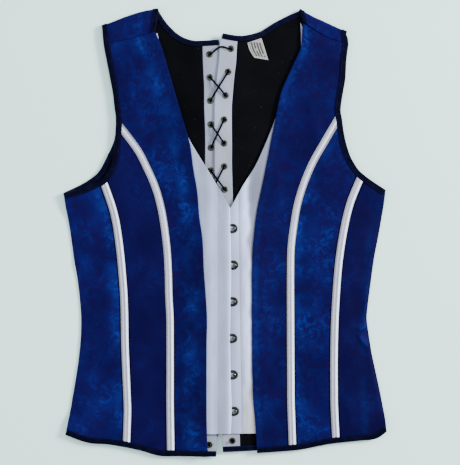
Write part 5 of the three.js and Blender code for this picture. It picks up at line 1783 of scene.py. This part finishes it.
class WAISTCOAT_OT_bindings(bpy.types.Operator):
    """Navy bias bindings round the armholes, neck and hems"""

    bl_idname = "waistcoat.bindings"
    bl_label = "Bias bindings"

    def execute(self, context):
        look = looks()
        material = bias_tape("navy binding", look.binding, look.binding_rub_and_highlight)
        for side in PARTS.sides:
            for key, hem, turn in self.hems(side):
                name = f"{key}_{side.name}"
                piece, cut, rows = binding(f"bias_{name}", hem, turn)
                stitches = sewn(f"stitches_bias_{name}", rows, "navy", 13)
                node = name if "binding" in key else f"{key}_binding_{side.name}"
                finish(piece, material, [node], cut)
        return {"FINISHED"}

    @staticmethod
    def hems(side):
        """The edges to bind on one side, with the way that each turns."""
        outer, inner, flat = back_faces(side)
        up, down = np.array([0.0, 0.0, 1.0]), np.array([0.0, 0.0, -1.0])
        rows = spread(*BACK_LENGTH)
        underarm, neck_row = (int(np.argmin(np.abs(rows - BACK_NECK_ROW * share)))
                              for share in (UNDERARM_LEVEL, 1.0))
        rolled_up = unit(inner[flat:] - outer[flat:])
        centre, middle, outside = (PARTS.panels[side.name][key][0] for key in ("centre", "middle", "side"))
        bone_top = int(np.argmin(np.abs(spread(PANEL_SIZES["centre"][1]) - BONE_TOP_ROW)))
        front = (down, FRONT_CLOTH, side.front_top)
        armhole = Hem()
        armhole.add(outer[underarm:flat:1, -1], up, BACK_STACK, side.back_low)
        armhole.add(outer[flat:, -1], rolled_up[:, -1], BACK_CLOTH, None, outer[flat:, -6])
        armhole.add(centre[bone_top + 1:-6:1, -1][::-1], *front)
        armhole.add(middle[-1, 5:-5], *front)
        armhole.add(outside[-1, 5:], *front)
        neck = Hem()
        neck.add(outer[neck_row:flat, 0], up, BACK_STACK, side.back_low)
        neck.add(outer[flat:, 0], rolled_up[:, 0], BACK_CLOTH, None, outer[flat:, 5])
        front_hem = Hem().add(np.concatenate([centre[0, :-5], middle[0, 5:-5], outside[0, 5:]]), *front)
        back_hem = Hem().add(outer[0], up, BACK_STACK, side.back_low)
        return [("armhole", armhole, -side.out), ("neck", neck, side.out),
                ("hem_binding_front", front_hem, side.out), ("hem_binding_back", back_hem, -side.out)]


class WAISTCOAT_OT_lacing(bpy.types.Operator):
    """Eyelets down both strips and the lace that runs through them"""

    bl_idname = "waistcoat.lacing"
    bl_label = "Eyelets and lace"

    def execute(self, context):
        look, size = looks(), sizes()
        metal = worn_metal("eyelet metal", look.metal, look.metal_dark, 0.32)
        for side in PARTS.sides:
            places = eyelet_places(side)
            piece = new_object(f"eyelets_{side.name}",
                               stacked(places, side.stack_top(places) + EYELET_AIR + EYELET_SEAT))
            eyelet_tree(f"eyelets {side.name}", metal, size.eyelet_outer, size.eyelet_inner, EYELET_FLANGE,
                        BACK_STACK + EYELET_AIR + 0.5).grow(piece)
            finish(piece, metal, [f"eyelet_{side.name}_{i}" for i in SOLID_EYELETS])
        path = lace_points(*PARTS.sides)
        material = braid("black braid", look.lace)
        finish(tube("lace_cord", rounded_path(path)), material, ["lace"])
        for place, end in (("left", path[0]), ("right", path[-1])):
            coil = knot_path(end[:3])
            path_and_radius = np.hstack([coil, np.full((len(coil), 1), KNOT_STRAND)])
            finish(tube(f"lace_knot_{place}", path_and_radius), material)
        return {"FINISHED"}


class WAISTCOAT_OT_busk(bpy.types.Operator):
    """Busk loops, fastened over the studs"""

    bl_idname = "waistcoat.busk"
    bl_label = "Busk"

    def execute(self, context):
        look, size = looks(), sizes()
        band = worn_metal("loop metal", scaled_colour(look.metal, 0.42), scaled_colour(look.metal_dark, 0.8),
                          0.42)
        bright = worn_metal("stud metal", scaled_colour(look.metal, 1.9), scaled_colour(look.metal, 0.30),
                            0.18)
        left, right = PARTS.sides
        half = LOOP_HALF_HEIGHT + LOOP_SOLID_BAND - size.loop_band
        angles = np.radians(np.arange(-90, 91, 7.5))
        for i in range(BUSK_COUNT):
            y = BUSK_TOP_Y - BUSK_PITCH * i
            edge = float(left.line["inner_edge"].x_at(y))
            bend = edge + LOOP_ARC_OFFSET
            under = float(right.inner_top(np.array([bend, y])))
            z = under + AIR + LOOP_SEAT
            arc = np.stack([bend + half * np.cos(angles), y + half * np.sin(angles)], axis=1)
            legs = np.linspace(edge - 0.2, bend, 5)[:-1]
            path = np.vstack([[(x, y - half) for x in legs], arc, [(x, y + half) for x in legs[::-1]]])
            path = np.hstack([path, np.full((len(path), 1), z), np.full((len(path), 1), size.loop_band)])
            rings = tube_rings(path, LOOP_FACETS)
            rings[..., 2] = z + (rings[..., 2] - z) * LOOP_FLATNESS
            loop = swept(f"loop_{i + 1}", rings, np.zeros((*rings.shape[:2], 2)))
            finish(loop, band, [f"busk_loop_{i + 1}"])
            stud = lathe(f"stud_{i + 1}", STUD_PROFILE, (edge + STUD_OFFSET, y, under + 0.25))
            finish(stud, bright, [f"busk_stud_{i + 1}"])
        return {"FINISHED"}


class WAISTCOAT_OT_label(bpy.types.Operator):
    """Blank care label at the neck"""

    bl_idname = "waistcoat.label"
    bl_label = "Label"

    def execute(self, context):
        side = PARTS.sides[1]
        near_left, near_right, far_right, far_left = (np.array(corner) for corner in LABEL_CORNERS)
        u, v = spread(22, 1.2), spread(30, 1.2)
        across, along = u[None, :, None], v[:, None, None]
        bow = 1.6 * np.sin(math.pi * v)[:, None, None] * (1 - across) * np.array([-1.0, -0.3])
        grid = (near_left * (1 - across) + near_right * across) * (1 - along) + bow
        grid = grid + (far_left * (1 - across) + far_right * across) * along
        curl = 1.3 * smoothstep(0.5 - v, 0.1, 1.0)[:, None] * smoothstep(u, 0.2, 1.0)[None]
        low = side.stack_top(grid) + LABEL_AIR + curl
        outer = stacked(grid, low + LABEL_CLOTH)
        piece = cloth("care_label", outer, stacked(grid, low))
        stitches = sewn("stitches_label", [outer[-6, 4:-4] + [0, 0, 0.05]], "black", 17)
        finish(piece, care_label("care label", LABEL_COLOUR, LABEL_INK), ["label"], cut_size(outer))
        return {"FINISHED"}


class WAISTCOAT_OT_stage(bpy.types.Operator):
    """Pale table, soft studio light and a camera straight above"""

    bl_idname = "waistcoat.stage"
    bl_label = "Table, lights and camera"

    def execute(self, context):
        scene = context.scene
        bpy.ops.mesh.primitive_plane_add(size=24)
        floor = context.object
        floor.name = "table"
        floor.data.materials.append(pale_floor("pale table", looks().floor))
        world = bpy.data.worlds.new("studio")
        world.use_nodes = True
        colour, strength = world.node_tree.nodes["Background"].inputs[:2]
        colour.default_value = WORLD_COLOUR
        strength.default_value = WORLD_LIGHT
        scene.world = world
        for name, place, size, power, tint in LAMPS:
            data = bpy.data.lights.new(name, "AREA")
            data.shape = "DISK"
            data.size = size
            data.energy = power
            data.color = tint
            lamp = bpy.data.objects.new(name, data)
            lamp.location = place
            lamp.rotation_euler = (-Vector(place)).to_track_quat("-Z", "Y").to_euler()
            scene.collection.objects.link(lamp)
        camera = bpy.data.cameras.new("camera")
        camera.lens = LENS
        camera.sensor_width = SENSOR
        eye = bpy.data.objects.new("camera", camera)
        across, up = PHOTO_CENTRE + CENTRING * MM
        eye.location = (across, up, LENS / SENSOR * PHOTO_HEIGHT * PHOTO_SCALE * MM + CAMERA_LEVEL)
        scene.collection.objects.link(eye)
        scene.camera = eye
        return {"FINISHED"}


class WAISTCOAT_PT_panel(bpy.types.Panel):
    """Builds the waistcoat piece by piece"""

    bl_idname = "WAISTCOAT_PT_panel"
    bl_label = "Waistcoat"
    bl_space_type = "VIEW_3D"
    bl_region_type = "UI"
    bl_category = "Waistcoat"

    def draw(self, context):
        for group in (looks(), sizes()):
            box = self.layout.box()
            for key in group.__annotations__:
                box.prop(group, key)
        for operator in OPERATORS:
            self.layout.operator(operator.bl_idname)


# In the order in which they build the garment
OPERATORS = (
    WAISTCOAT_OT_backs,
    WAISTCOAT_OT_inner_fronts,
    WAISTCOAT_OT_fronts,
    WAISTCOAT_OT_tapes,
    WAISTCOAT_OT_bindings,
    WAISTCOAT_OT_lacing,
    WAISTCOAT_OT_busk,
    WAISTCOAT_OT_label,
    WAISTCOAT_OT_stage,
)
CLASSES = (WaistcoatLooks, WaistcoatSizes, *OPERATORS, WAISTCOAT_PT_panel)


def register():
    for kind in CLASSES:
        bpy.utils.register_class(kind)
    bpy.types.Scene.waistcoat_looks = bpy.props.PointerProperty(type=WaistcoatLooks)
    bpy.types.Scene.waistcoat_sizes = bpy.props.PointerProperty(type=WaistcoatSizes)


def unregister():
    del bpy.types.Scene.waistcoat_looks
    del bpy.types.Scene.waistcoat_sizes
    for kind in reversed(CLASSES):
        bpy.utils.unregister_class(kind)


def main():
    register()
    for operator in OPERATORS:
        group, name = operator.bl_idname.split(".")
        getattr(getattr(bpy.ops, group), name)()


if __name__ == "__main__":
    main()
